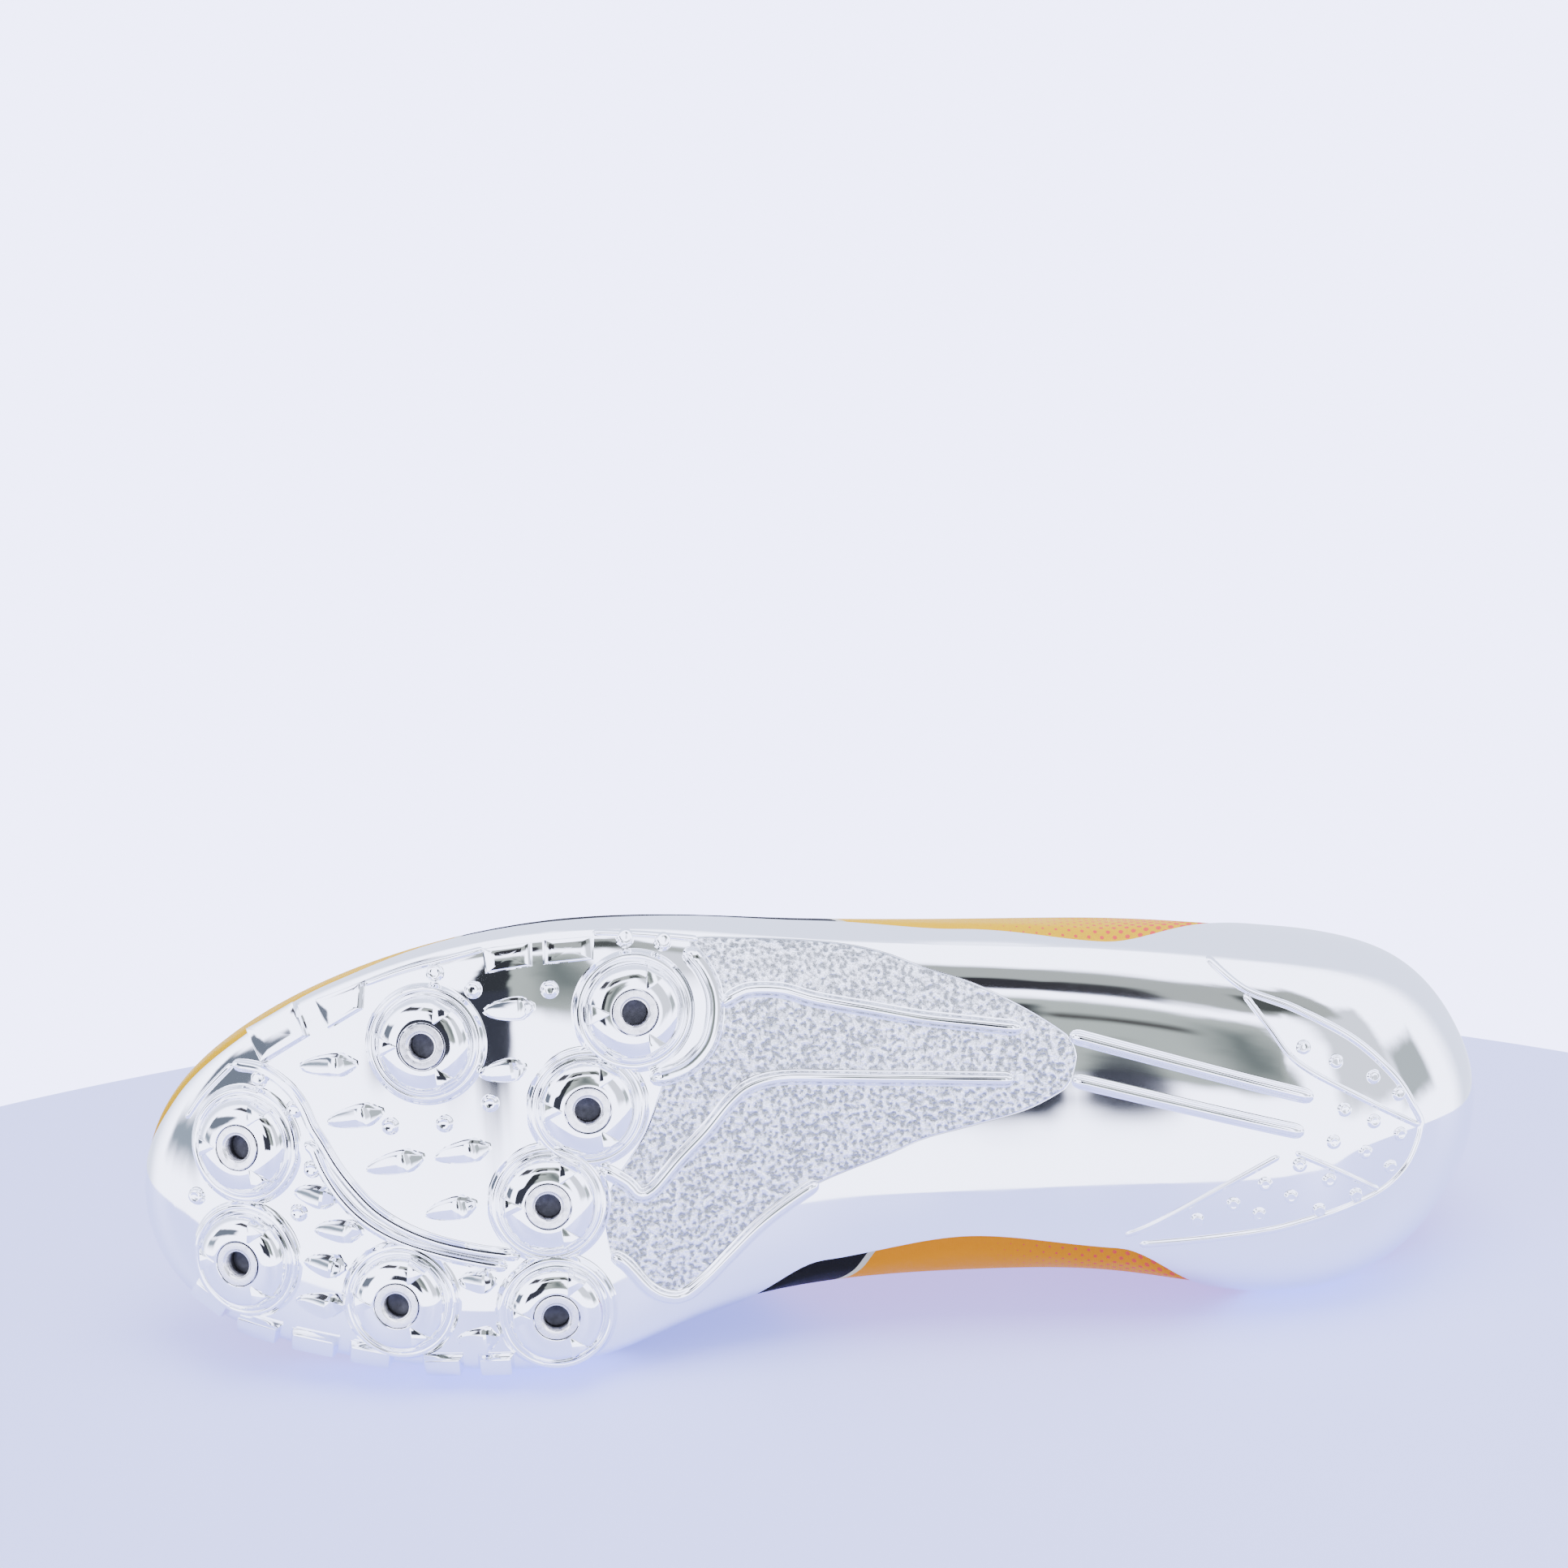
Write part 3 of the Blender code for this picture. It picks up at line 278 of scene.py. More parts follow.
def cap_ends(piece):
    """Closes each open end of a tube with one face."""
    edit(piece, lambda: bpy.ops.mesh.select_all(action="DESELECT"),
         lambda: bpy.ops.mesh.select_non_manifold(), lambda: bpy.ops.mesh.edge_face_add())


def weld(piece, distance=0.00001):
    edit(piece, lambda: bpy.ops.mesh.remove_doubles(threshold=distance),
         lambda: bpy.ops.mesh.normals_make_consistent(inside=False))


def apply_all(piece):
    select_only(piece)
    for change in list(piece.modifiers):
        bpy.ops.object.modifier_apply(modifier=change.name)


def join(name, pieces):
    select_only(pieces[0])
    for piece in pieces:
        piece.select_set(True)
    bpy.ops.object.join()
    pieces[0].name = pieces[0].data.name = name
    return pieces[0]


def finish_piece(piece, material, nodes=(), angle=40):
    """Lays the piece down with the shoe, smooths it and tells the frame about it."""
    piece.data.transform(LAID)
    select_only(piece)
    bpy.ops.object.shade_smooth_by_angle(angle=radians(angle))
    if material is not None:
        piece.data.materials.clear()
        piece.data.materials.append(material)
    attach(piece, "root")
    if nodes:
        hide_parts(*nodes)
    print(piece.name, len(piece.data.polygons), "faces")
    return piece


def mark(piece, name, values):
    """Stores a number for each point, for the materials to read."""
    place = piece.data.attributes.new(name, "FLOAT", "POINT")
    place.data.foreach_set("value", np.asarray(values, np.float32).ravel())


# %% [markdown]
# Materials are node trees. A small helper places a node, sets its values and links what it is
# given, so that each material reads as a short recipe.

# %% Helper for node trees
class Recipe:
    """Places nodes in a tree. Inputs are given by name or number, as a value or as a socket to link."""

    def __init__(self, tree):
        self.tree = tree

    def add(self, kind, inputs=None, out=0, **settings):
        node = self.tree.nodes.new(kind)
        for name, value in settings.items():
            setattr(node, name, value)
        for key, value in (inputs or {}).items():
            if isinstance(value, bpy.types.NodeSocket):
                self.tree.links.new(value, node.inputs[key])
            else:
                node.inputs[key].default_value = value
        return node.outputs[out]

    def math(self, operation, a, b=0.0, c=0.0, clamp=False):
        return self.add("ShaderNodeMath", {0: a, 1: b, 2: c}, operation=operation, use_clamp=clamp)

    def mix(self, factor, a, b):
        node = self.tree.nodes.new("ShaderNodeMix")
        node.data_type = "RGBA"
        for key, value in ((0, factor), (6, a), (7, b)):
            if isinstance(value, bpy.types.NodeSocket):
                self.tree.links.new(value, node.inputs[key])
            else:
                node.inputs[key].default_value = value if key == 0 else (*value, 1)
        return node.outputs[2]

    def ramp(self, value, low, high):
        """0 below low, 1 above high, smooth in between."""
        return self.add("ShaderNodeMapRange", {0: value, 1: low, 2: high}, interpolation_type="SMOOTHSTEP")

    def read(self, name, out=2):
        """A number stored on the mesh; out 1 reads it as a vector."""
        return self.add("ShaderNodeAttribute", out=out, attribute_name=name)

    def place(self):
        return self.add("ShaderNodeTexCoord", out=3)

    def unwrapped(self):
        """The grid's own coordinates, 0 to 1 across its columns and along its rows."""
        return self.add("ShaderNodeTexCoord", out=2)

    def split(self, vector):
        """Sockets of a vector's x, y and z."""
        return self.add("ShaderNodeSeparateXYZ", {0: vector}).node.outputs

    def noise(self, place, scale, detail, out=0):
        return self.add("ShaderNodeTexNoise", {"Vector": place, "Scale": scale, "Detail": detail}, out=out)

    def link(self, value, socket):
        self.tree.links.new(value, socket)

    def bump(self, shader, strength, distance, height):
        inputs = {"Strength": strength, "Distance": distance, "Height": height}
        self.link(self.add("ShaderNodeBump", inputs), shader.inputs["Normal"])


def new_material(name, colour, metallic, roughness):
    material = bpy.data.materials.new(name)
    material.use_nodes = True
    shader = material.node_tree.nodes["Principled BSDF"]
    shader.inputs["Base Color"].default_value = (*colour, 1)
    shader.inputs["Metallic"].default_value = metallic
    shader.inputs["Roughness"].default_value = roughness
    return material, Recipe(material.node_tree), shader


def new_group(name, inputs, outputs):
    group = bpy.data.node_groups.new(name, "ShaderNodeTree")
    for label, kind, value in inputs:
        socket = group.interface.new_socket(label, in_out="INPUT", socket_type=kind)
        if value is not None:
            socket.default_value = value
    for label, kind in outputs:
        group.interface.new_socket(label, in_out="OUTPUT", socket_type=kind)
    start = group.nodes.new("NodeGroupInput")
    end = group.nodes.new("NodeGroupOutput")
    return group, Recipe(group), start.outputs, end.inputs


def use_group(recipe, group, out=0, **given):
    node = recipe.tree.nodes.new("ShaderNodeGroup")
    node.node_tree = group
    for name, value in given.items():
        socket = node.inputs[name.replace("_", " ").capitalize()]
        if isinstance(value, bpy.types.NodeSocket):
            recipe.tree.links.new(value, socket)
        else:
            socket.default_value = value
    return node.outputs[out]


# %% [markdown]
# Three effects are shared. Cloth shows its threads, plating has a pebbled field and small
# unevenness, and every worn surface has faint smudges that change its gloss.

# %% Shared effects
FLOAT, VECTOR = "NodeSocketFloat", "NodeSocketVector"


def make_weave():
    """Two crossing sets of threads: height over the cloth, from a place in millimetres."""
    group, r, start, end = new_group("weave", [("Place", VECTOR, None), ("Thread", FLOAT, 0.8)],
                                     [("Height", FLOAT)])
    x, y, _ = r.split(start["Place"])
    turn = r.math("DIVIDE", 2 * pi, start["Thread"])
    across = r.math("SINE", r.math("MULTIPLY", x, turn))
    along = r.math("SINE", r.math("MULTIPLY", y, turn))
    height = r.math("MULTIPLY", r.math("ABSOLUTE", across), r.math("ABSOLUTE", along))
    r.link(height, end["Height"])
    return group


def make_pebble():
    """Crushed grain of the plated field: height from a place in metres."""
    group, r, start, end = new_group("pebble", [("Place", VECTOR, None), ("Grain", FLOAT, 900.0)],
                                     [("Height", FLOAT)])
    inputs = {"Vector": start["Place"], "Scale": start["Grain"]}
    cells = r.add("ShaderNodeTexVoronoi", inputs, feature="SMOOTH_F1")
    noise = r.noise(start["Place"], start["Grain"], 3.0)
    height = r.math("ADD", r.math("MULTIPLY", cells, 0.7), r.math("MULTIPLY", noise, 0.8))
    r.link(height, end["Height"])
    return group


def make_smudge():
    """Faint uneven gloss: a roughness that wanders between two values."""
    group, r, start, end = new_group("smudge", [("Place", VECTOR, None), ("Low", FLOAT, 0.1),
                                                ("High", FLOAT, 0.2), ("Size", FLOAT, 60.0)],
                                     [("Roughness", FLOAT)])
    noise = r.noise(start["Place"], start["Size"], 4.0)
    spread = r.add("ShaderNodeMapRange", {0: noise, 1: 0.3, 2: 0.7, 3: start["Low"], 4: start["High"]})
    r.link(spread, end["Roughness"])
    return group


WEAVE, PEBBLE, SMUDGE = make_weave(), make_pebble(), make_smudge()

# %% [markdown]
# Plating is a mirror: what makes it look real is what it reflects, so its colour is almost white
# and its roughness is small. The pebbled field in the waist is the same metal with a strong
# bump, and shade is painted into its colour: the grain's hollows are darkened. The number
# "field" says how far a point lies inside its outline, in millimetres, which gives a crisp edge.

# %% Plated finish
def make_plating():
    material, r, shader = new_material("mirror_plating", (0.86, 0.87, 0.90), 1.0, 0.05)
    place = r.place()
    inside = r.ramp(r.read("field"), -0.15, 0.15)
    gloss = use_group(r, SMUDGE, place=place, low=0.025, high=0.07, size=45.0)
    rough = r.math("ADD", gloss, r.math("MULTIPLY", inside, 0.05))
    r.link(rough, shader.inputs["Roughness"])
    grain = use_group(r, PEBBLE, place=place, grain=1050.0)
    # Painted shade: the base colour is darkened in the hollows of the grain.
    painted_hollow_shade = r.math("MULTIPLY", inside, r.ramp(grain, 0.86, 0.56))
    r.link(r.mix(painted_hollow_shade, (0.86, 0.87, 0.90), (0.25, 0.26, 0.26)), shader.inputs["Base Color"])
    step = r.math("MULTIPLY", r.ramp(r.read("field"), -0.35, 0.2), -0.25)
    height = r.math("ADD", r.math("MULTIPLY", grain, inside), step)
    r.bump(shader, 0.95, 0.0008, height)
    return material


PLATING = make_plating()

# %% [markdown]
# The plate is one thin moulding that turns up round the foot and into a heel cup. The grid's
# columns are meridians and its rows run from the middle of the sole to the rim, closer together
# where the plate turns. Solidify gives it its wall and a bevel rounds the rim.

# %% Outline of the pebbled field
# Each place is in percent of LENGTH from the heel and of HALF_WIDTH from the middle line.
FIELD = ((58.1, 80.3), (54.2, 79.6), (50.4, 77.5), (46.5, 74.4), (43.6, 70.3), (40.8, 64.1),
         (37.0, 56.7), (33.2, 45.8), (30.1, 33.8), (29.7, 27.4), (30.2, 16.8), (30.6, 13.7),
         (33.5, 5.5), (37.4, -0.4), (41.3, -5.7), (43.7, -11.2), (49.3, -22.4), (52.0, -31.8),
         (54.0, -40.0), (56.0, -50.3), (58.0, -60.7), (59.6, -66.8), (61.0, -66.7), (62.3, -62.3),
         (63.8, -51.8), (64.9, -47.0), (65.0, -24.0), (62.0, 2.0), (60.1, 26.2), (58.5, 29.9),
         (57.1, 38.0), (56.5, 48.4), (56.5, 59.0), (57.3, 69.6))
PERCENT = np.array((LENGTH, HALF_WIDTH)) / 100


def smooth_path(places, step, closed=False):
    """Points about step apart on a smooth curve through places, which are in percent."""
    points = np.array(places, float) * PERCENT
    count = len(points)
    made = []
    for i in range(count if closed else count - 1):
        a, b = points[i], points[(i + 1) % count]
        before = points[i - 1] if closed or i > 0 else a
        after = points[(i + 2) % count] if closed or i < count - 2 else b
        pieces = max(int(hypot(*(b - a)) / step), 1)
        for j in range(pieces):
            made.append(hermite(j / pieces, a, (b - before) / 2, b, (after - a) / 2))
    if not closed:
        made.append(points[-1])
    return np.array(made)


def inside_distance(places, outline):
    """How far each place lies inside a closed outline; outside it is below 0."""
    nearest = np.full(len(places), 1e9)
    crossings = np.zeros(len(places), bool)
    for a, b in zip(outline, np.roll(outline, -1, 0)):
        way = b - a
        t = np.clip(((places - a) @ way) / max(way @ way, 1e-12), 0, 1)
        nearest = np.minimum(nearest, np.linalg.norm(places - a - t[:, None] * way, axis=1))
        straddles = (a[1] > places[:, 1]) != (b[1] > places[:, 1])
        if way[1]:
            at = a[0] + (places[:, 1] - a[1]) / way[1] * way[0]
            crossings ^= straddles & (places[:, 0] < at)
    return np.where(crossings, nearest, -nearest)


# %% The plate
PLATE_COLUMNS = 416
MIDDLE_ROWS, TURN_ROWS = 26, 44
MIDDLE_SHARE = 0.85


def even_rows(share, square, steps):
    """q of even steps from the middle line to a share of the way out, under the foot."""
    return [np.arcsin((share * i / steps) ** (square / 2)) * 2 / pi for i in range(steps + 1)]


def plate_rows(u):
    """q of each row on the meridians u: even steps under the foot, then even steps round the turn."""
    square, edge = read_rows(u)[:, 3], plate_edge(u)
    turn = np.minimum(np.arcsin(MIDDLE_SHARE ** (square / 2)) * 2 / pi, 0.9 * edge)
    share = np.sin(turn * pi / 2) ** (2 / square)
    rows = even_rows(share, square, MIDDLE_ROWS)[:-1]
    rows += [turn + (edge - turn) * i / TURN_ROWS for i in range(TURN_ROWS + 1)]
    return np.array(rows)


def make_plate():
    u = np.arange(PLATE_COLUMNS) * AROUND / PLATE_COLUMNS
    points = last(u, plate_rows(u))
    plate = grid_piece("plate_shell", points, closed=True)
    weld(plate)
    return plate


plate = make_plate()
outline = smooth_path(FIELD, 0.002, closed=True)
plate_points = np.array([v.co for v in plate.data.vertices])
mark(plate, "field", inside_distance(plate_points[:, :2], outline) * 1000)
print("plate points:", len(plate_points))

# %% [markdown]
# What is moulded on the sole is modelled flat, as on a drawing board, and then draped: a point's
# place on the drawing finds the sole above it and its height is laid off along the sole's normal.

# %% Drape pieces onto the sole
WELL_BELOW = -0.05
sole_points = [v.co.copy() for v in plate.data.vertices]
sole_faces = [tuple(face.vertices) for face in plate.data.polygons]
sole_normals = [Vector(n.vector) for n in plate.data.vertex_normals]
sole_tree = BVHTree.FromPolygons(sole_points, sole_faces)


def on_sole(x, y):
    """Point of the sole's underside at a place of the drawing, and the way out of it."""
    point, _, face, _ = sole_tree.ray_cast(Vector((x, y, WELL_BELOW)), Vector((0, 0, 1)))
    if point is None:
        point, _, face, _ = sole_tree.find_nearest(Vector((x, y, float(profile(x)))))
    corners = sole_faces[face]
    shares = poly_3d_calc([sole_points[i] for i in corners], point)
    out = Vector()
    for share, i in zip(shares, corners):
        out += sole_normals[i] * share
    return point, out.normalized()


def drape(piece):
    for v in piece.data.vertices:
        point, out = on_sole(v.co.x, v.co.y)
        v.co = point + out * v.co.z
    return piece


def capped(name, rings):
    """A closed form through rings of points; its last ring is drawn together to a point."""
    rings = [np.asarray(ring, float) for ring in rings]
    rings.append(np.repeat(rings[-1].mean(0)[None], len(rings[-1]), 0))
    piece = grid_piece(name, rings, closed=True)
    weld(piece)
    return piece


# %% [markdown]
# Ridges and ribs are half-round with a soft foot. A cross-section is carried along a smooth
# path, and it shrinks to nothing at the ends, so each ridge fades into the plate.

# %% Ridges, ribs and lines
# Across and up, as shares of a ridge's width and height
RIDGE_SECTION = ((-0.80, -0.04), (-0.64, 0.02), (-0.53, 0.14), (-0.45, 0.42), (-0.37, 0.76),
                 (-0.24, 0.95), (0.0, 1.0), (0.24, 0.95), (0.37, 0.76), (0.45, 0.42), (0.53, 0.14),
                 (0.64, 0.02), (0.80, -0.04))
RIDGE_STEP = 0.0009
# Width and height in metres
RIDGE = (0.0020, 0.0015)
RIB = (0.0024, 0.0014)
WALL = (0.0030, 0.0026)
HEEL_LINE = (0.0012, 0.0006)
STEP_LINE = (0.0010, 0.0004)
RIDGES = (
    (RIDGE, ((92.9, 34.6), (90.6, 33.1), (88.7, 26.3), (87.6, 18.2), (86.9, 9.1), (86.2, 2.5),
             (85.2, -7.4), (83.9, -17.2), (82.3, -26.5), (80.2, -33.9), (77.7, -39.5),
             (74.8, -43.4), (71.7, -46.0))),
    (RIDGE, ((87.6, 2.3), (86.9, -0.4), (86.2, -9.6), (85.0, -20.5), (83.3, -30.2), (81.0, -38.0),
             (78.3, -43.5), (75.4, -47.6), (72.7, -50.5))),
    (RIB, ((56.0, 53.5), (54.8, 57.4), (53.6, 59.0), (51.3, 57.8), (48.8, 53.3), (44.8, 48.4),
           (41.0, 44.0), (37.1, 41.0), (33.6, 38.5))),
    (RIB, ((65.4, -10.9), (63.5, -17.9), (62.7, -22.9), (61.6, -21.3), (59.6, -9.6), (57.5, 1.6),
           (55.5, 13.9), (53.9, 20.0), (51.6, 22.3), (48.1, 21.3), (44.3, 20.0), (39.4, 18.8),
           (34.3, 17.6))),
    (RIB, ((64.9, -47.0), (63.8, -51.8), (62.3, -62.3), (61.0, -66.7), (59.6, -66.8), (58.0, -60.7),
           (56.0, -50.3), (54.0, -40.0), (52.0, -31.8), (49.3, -22.4))),
    (RIB, ((30.1, 35.2), (24.0, 25.3), (18.0, 15.5), (12.2, 6.1))),
    (RIB, ((30.1, 17.0), (24.4, 8.6), (18.8, 0.3), (13.0, -8.2))),
    (WALL, ((58.5, 77.1), (57.3, 69.6), (56.5, 59.0), (56.5, 48.4), (57.1, 38.0), (58.5, 29.9),
            (60.1, 26.2), (61.5, 25.1))),
    (HEEL_LINE, ((19.6, 64.2), (17.0, 51.3), (13.2, 42.3), (9.0, 28.9), (6.0, 12.6), (4.5, -1.5),
                 (4.0, -9.5), (4.6, -20.4), (5.6, -28.4), (7.3, -35.5), (10.3, -41.7),
                 (13.3, -46.2), (16.0, -49.3), (21.0, -52.3), (25.4, -54.0))),
    (STEP_LINE, ((17.0, 49.1), (15.2, 35.0), (13.2, 20.5), (8.8, 5.5), (4.1, -9.4))),
    (STEP_LINE, ((26.5, -49.7), (24.3, -44.9), (19.6, -31.0), (14.9, -17.5))),
    (STEP_LINE, ((13.7, -16.2), (10.5, -25.0), (7.4, -34.8))),
    (STEP_LINE, ((82.5, 68.0), (79.5, 73.5), (76.5, 77.5), (73.4, 81.4))),
    (STEP_LINE, ((65.3, 86.0), (61.5, 84.0), (57.5, 80.6))),
    (STEP_LINE, ((96.8, 11.1), (95.6, 20.0), (94.2, 28.0), (92.9, 34.8))),
)


def make_ridge(name, size, places):
    width, height = size
    path = smooth_path(places, RIDGE_STEP)
    along = np.gradient(path, axis=0)
    along /= np.linalg.norm(along, axis=1)[:, None]
    side = np.stack((-along[:, 1], along[:, 0]), -1)
    run = np.concatenate(((0,), np.cumsum(np.linalg.norm(np.diff(path, axis=0), axis=1))))
    ends = np.clip(np.minimum(run, run[-1] - run) / width, 0, 1)
    fade = np.sqrt(np.clip(1 - (1 - ends) ** 2, 0, 1))
    rows = []
    for point, way, share in zip(path, side, fade):
        rows.append([(*(point + way * width * a * (0.25 + 0.75 * share)), height * up * share)
                     for a, up in RIDGE_SECTION])
    return drape(grid_piece(name, rows))


ridges = join("sole_ridges", [make_ridge("ridge_%d" % i, *row) for i, row in enumerate(RIDGES)])

# %% [markdown]
# Teeth bite into the track. Each is a wedge with a round nose that climbs to a crest across the
# tooth and drops steeply behind it. The same shape is set down thirteen times.

# %% Teeth
TOOTH_HEIGHT, TOOTH_WIDTH = 0.0034, 0.0048
TEETH = ((87.6, 34.4, 83.4, 35.4), (85.7, 11.3, 81.6, 15.4), (82.9, -8.5, 78.7, -3.9),
         (77.7, -4.0, 73.7, -0.2), (78.6, -27.7, 74.9, -23.8), (73.5, 56.2, 69.9, 57.2),
         (74.0, 30.0, 70.7, 32.4), (88.5, -17.9, 85.4, -21.4), (87.1, -33.8, 83.6, -35.0),
         (88.0, -47.4, 85.0, -50.1), (88.8, -64.2, 85.3, -66.9), (76.4, -55.8, 73.7, -56.6),
         (76.7, -81.1, 73.7, -80.7))
# Share of the way from nose to back, half-width as a share of half of TOOTH_WIDTH
TOOTH_OUTLINE = ((0.00, 0.00), (0.04, 0.26), (0.12, 0.50), (0.25, 0.72), (0.42, 0.90), (0.58, 1.00),
                 (0.70, 1.00), (0.77, 0.96), (0.86, 0.70), (1.00, 0.24))
CREST = 0.74
# From the foot up: length added at each end, share of the width, share of the height
TOOTH_RINGS = ((0.0004, 1.08, -0.03), (0.00012, 1.02, 0.04), (0, 0.94, 0.45), (0, 0.80, 0.97),
               (0, 0.66, 1.0), (0, 0.0, 1.02))


def tooth_height(share):
    climb = 0.16 + 0.84 * share / CREST
    drop = 1 - (share - CREST) / (1 - CREST) * 0.86
    return TOOTH_HEIGHT * min(climb, drop)


def make_tooth(name, row):
    nose, back = np.array(row[:2]) * PERCENT, np.array(row[2:]) * PERCENT
    way = back - nose
    side = np.array((-way[1], way[0])) / hypot(*way)
    half = TOOTH_WIDTH / 2
    loop = list(TOOTH_OUTLINE) + [(s, -w) for s, w in TOOTH_OUTLINE[:0:-1]]
    rings = []
    for grow, keep, up in TOOTH_RINGS:
        ring = []
        for s, w in loop:
            p = nose + way * (0.5 + (s - 0.5) * (1 + grow / half)) + side * w * half * keep
            ring.append((*p, tooth_height(s) * up))
        rings.append(ring)
    piece = grid_piece(name, rings, closed=True)
    weld(piece)
    return drape(piece)


teeth = join("sole_teeth", [make_tooth("tooth_%d" % i, row) for i, row in enumerate(TEETH)])

# %% [markdown]
# Studs, heel dots, edge lugs and border blocks are all outlines raised by rings that step in at
# the top, so the edges catch a thin line of light.

# %% Studs and dots
STUD, DOT = (0.0017, 0.0011), (0.00135, 0.0008)
STUDS = ((90.8, 29.3), (88.2, 16.6), (87.1, -8.5), (96.2, -21.1), (88.3, -26.9), (81.0, 9.4),
         (76.9, 10.1), (73.4, 18.1), (77.1, 72.3), (74.3, 65.3), (68.6, 64.1), (62.9, 83.0),
         (60.1, 80.6))
DOTS = ((12.8, 26.9), (10.4, 20.5), (7.6, 13.1), (5.7, 5.1), (9.9, 0.5), (7.7, -5.3), (5.7, -11.8),
        (10.8, -12.7), (8.4, -18.0), (6.5, -25.3), (13.4, -21.6), (11.2, -28.8), (9.2, -35.9),
        (16.0, -29.0), (14.1, -34.9), (12.0, -41.3), (18.4, -37.1), (16.5, -41.9), (21.1, -43.6))
STUD_SECTION = ((1.22, -0.03), (1.06, 0.03), (0.97, 0.30), (0.93, 0.62), (0.80, 0.88), (0.58, 0.99),
                (0.46, 0.93), (0.25, 0.90))


def raised_ring(outline, scale, height):
    middle = outline.mean(0)
    return [(*(middle + (p - middle) * scale), height) for p in outline]


def make_round(name, place, size):
    turns = np.arange(24) * 2 * pi / 24
    outline = np.array(place) * PERCENT + np.stack((np.cos(turns), np.sin(turns)), -1) * size[0]
    return drape(capped(name, [raised_ring(outline, r, size[1] * h) for r, h in STUD_SECTION]))


studs = join("sole_studs", [make_round("stud_%d" % i, p, STUD) for i, p in enumerate(STUDS)]
             + [make_round("dot_%d" % i, p, DOT) for i, p in enumerate(DOTS)])

# %% Edge lugs and border blocks
LUG_WIDTH, LUG_HEIGHT, BLOCK_HEIGHT = 0.0034, 0.0020, 0.0016
# Centre, length in percent of LENGTH, degrees off the shoe's axis
LUGS = ((95.4, -64.0, 3.2, 35), (91.9, -76.0, 3.4, 15), (87.6, -81.8, 3.6, 11),
        (83.3, -86.6, 3.3, 11), (77.9, -91.0, 3.0, 0), (73.9, -91.0, 2.6, 0))
BLOCKS = (((90.5, 35.6), (86.9, 47.2), (87.7, 60.0), (91.6, 48.0)),
          ((85.3, 50.0), (82.7, 58.2), (82.5, 68.5), (86.2, 61.0)),
          ((73.2, 72.0), (69.9, 74.2), (69.9, 83.0), (73.4, 81.0)),
          ((68.9, 74.6), (65.4, 75.6), (65.3, 84.0), (68.9, 83.5)))


def along_sides(corners, pieces=8):
    """Points along the sides between corners, a little closer at the corners."""
    corners = np.array(corners)
    shares = (1 - np.cos(np.arange(pieces) / pieces * pi)) / 2
    sides = zip(corners, np.roll(corners, -1, 0))
    return np.concatenate([a + (b - a) * shares[:, None] for a, b in sides])


def make_block(name, corners, height, tops):
    outline = along_sides(corners)
    rings = [raised_ring(outline, 1.09, -0.03 * height), raised_ring(outline, 1.0, 0.10 * height)]
    rings += [raised_ring(outline, keep, up * height) for keep, up in tops]
    return drape(capped(name, rings))


def lug_corners(x, y, length, turn):
    run = np.array((-cos(radians(turn)), -sin(radians(turn)))) * length * LENGTH / 200
    side = np.array((sin(radians(turn)), -cos(radians(turn)))) * LUG_WIDTH / 2
    middle = np.array((x, y)) * PERCENT
    return [middle - run - side, middle + run - side, middle + run + side, middle - run + side]


LUG_TOPS = ((0.94, 0.55), (0.88, 0.90), (0.80, 1.0), (0.5, 1.0))
BLOCK_TOPS = ((0.96, 0.7), (0.93, 0.95), (0.88, 1.0), (0.5, 1.0))
lugs = join("edge_lugs", [make_block("lug_%d" % i, lug_corners(*row), LUG_HEIGHT, LUG_TOPS)
                          for i, row in enumerate(LUGS)])
blocks = join("border_blocks", [make_block("block_%d" % i, corners * PERCENT, BLOCK_HEIGHT, BLOCK_TOPS)
                                for i, corners in enumerate(np.array(BLOCKS))])

# %% [markdown]
# A spike seat is turned: a round rim, a groove and a dome up to the metal insert. Its foot is
# draped on the plate while the dome keeps its own axis. Three small wedges brace the dome.

# %% Spike seats
SEATS = ((92.1, 1.4), (92.5, -46.9), (78.0, 43.4), (80.8, -64.0), (62.5, 53.4), (66.2, 14.7),
         (69.4, -24.4), (69.2, -70.1))
BOSS_RADIUS, BOSS_HEIGHT = 0.0098, 0.0045
INSERT_PROUD, HOLE_RADIUS = 0.0002, 0.0026
# Radius and height in millimetres, from the foot of the rim to the pocket for the insert
SEAT_SECTION = ((13.0, -0.05), (12.6, 0.06), (12.25, 0.35), (12.05, 0.80), (11.8, 1.12), (11.4, 1.28),
                (11.0, 1.22), (10.75, 1.02), (10.6, 0.82), (10.4, 0.74), (10.2, 0.78), (10.05, 1.02),
                (9.95, 1.45), (9.80, 2.05), (9.50, 2.65), (9.05, 3.20), (8.45, 3.68), (7.70, 4.04),
                (6.90, 4.28), (6.10, 4.42), (5.40, 4.50), (4.98, 4.50), (4.85, 4.40), (4.85, 2.0))
SEAT_STEPS = 72
DRAPE_LOW, DRAPE_HIGH = 0.0002, 0.0011


AXIS_SAMPLES = 8


def seat_frame(place):
    """Centre of a seat, its axis, and two ways across it, the first towards the toe."""
    x, y = np.array(place) * PERCENT
    out = Vector()
    for i in range(AXIS_SAMPLES):
        turn = 2 * pi * i / AXIS_SAMPLES
        out += on_sole(x + cos(turn) * BOSS_RADIUS * 0.6, y + sin(turn) * BOSS_RADIUS * 0.6)[1]
    axis = out.normalized()
    along = (Vector((1, 0, 0)) - axis * axis.x).normalized()
    return on_sole(x, y)[0], axis, along, along.cross(axis)


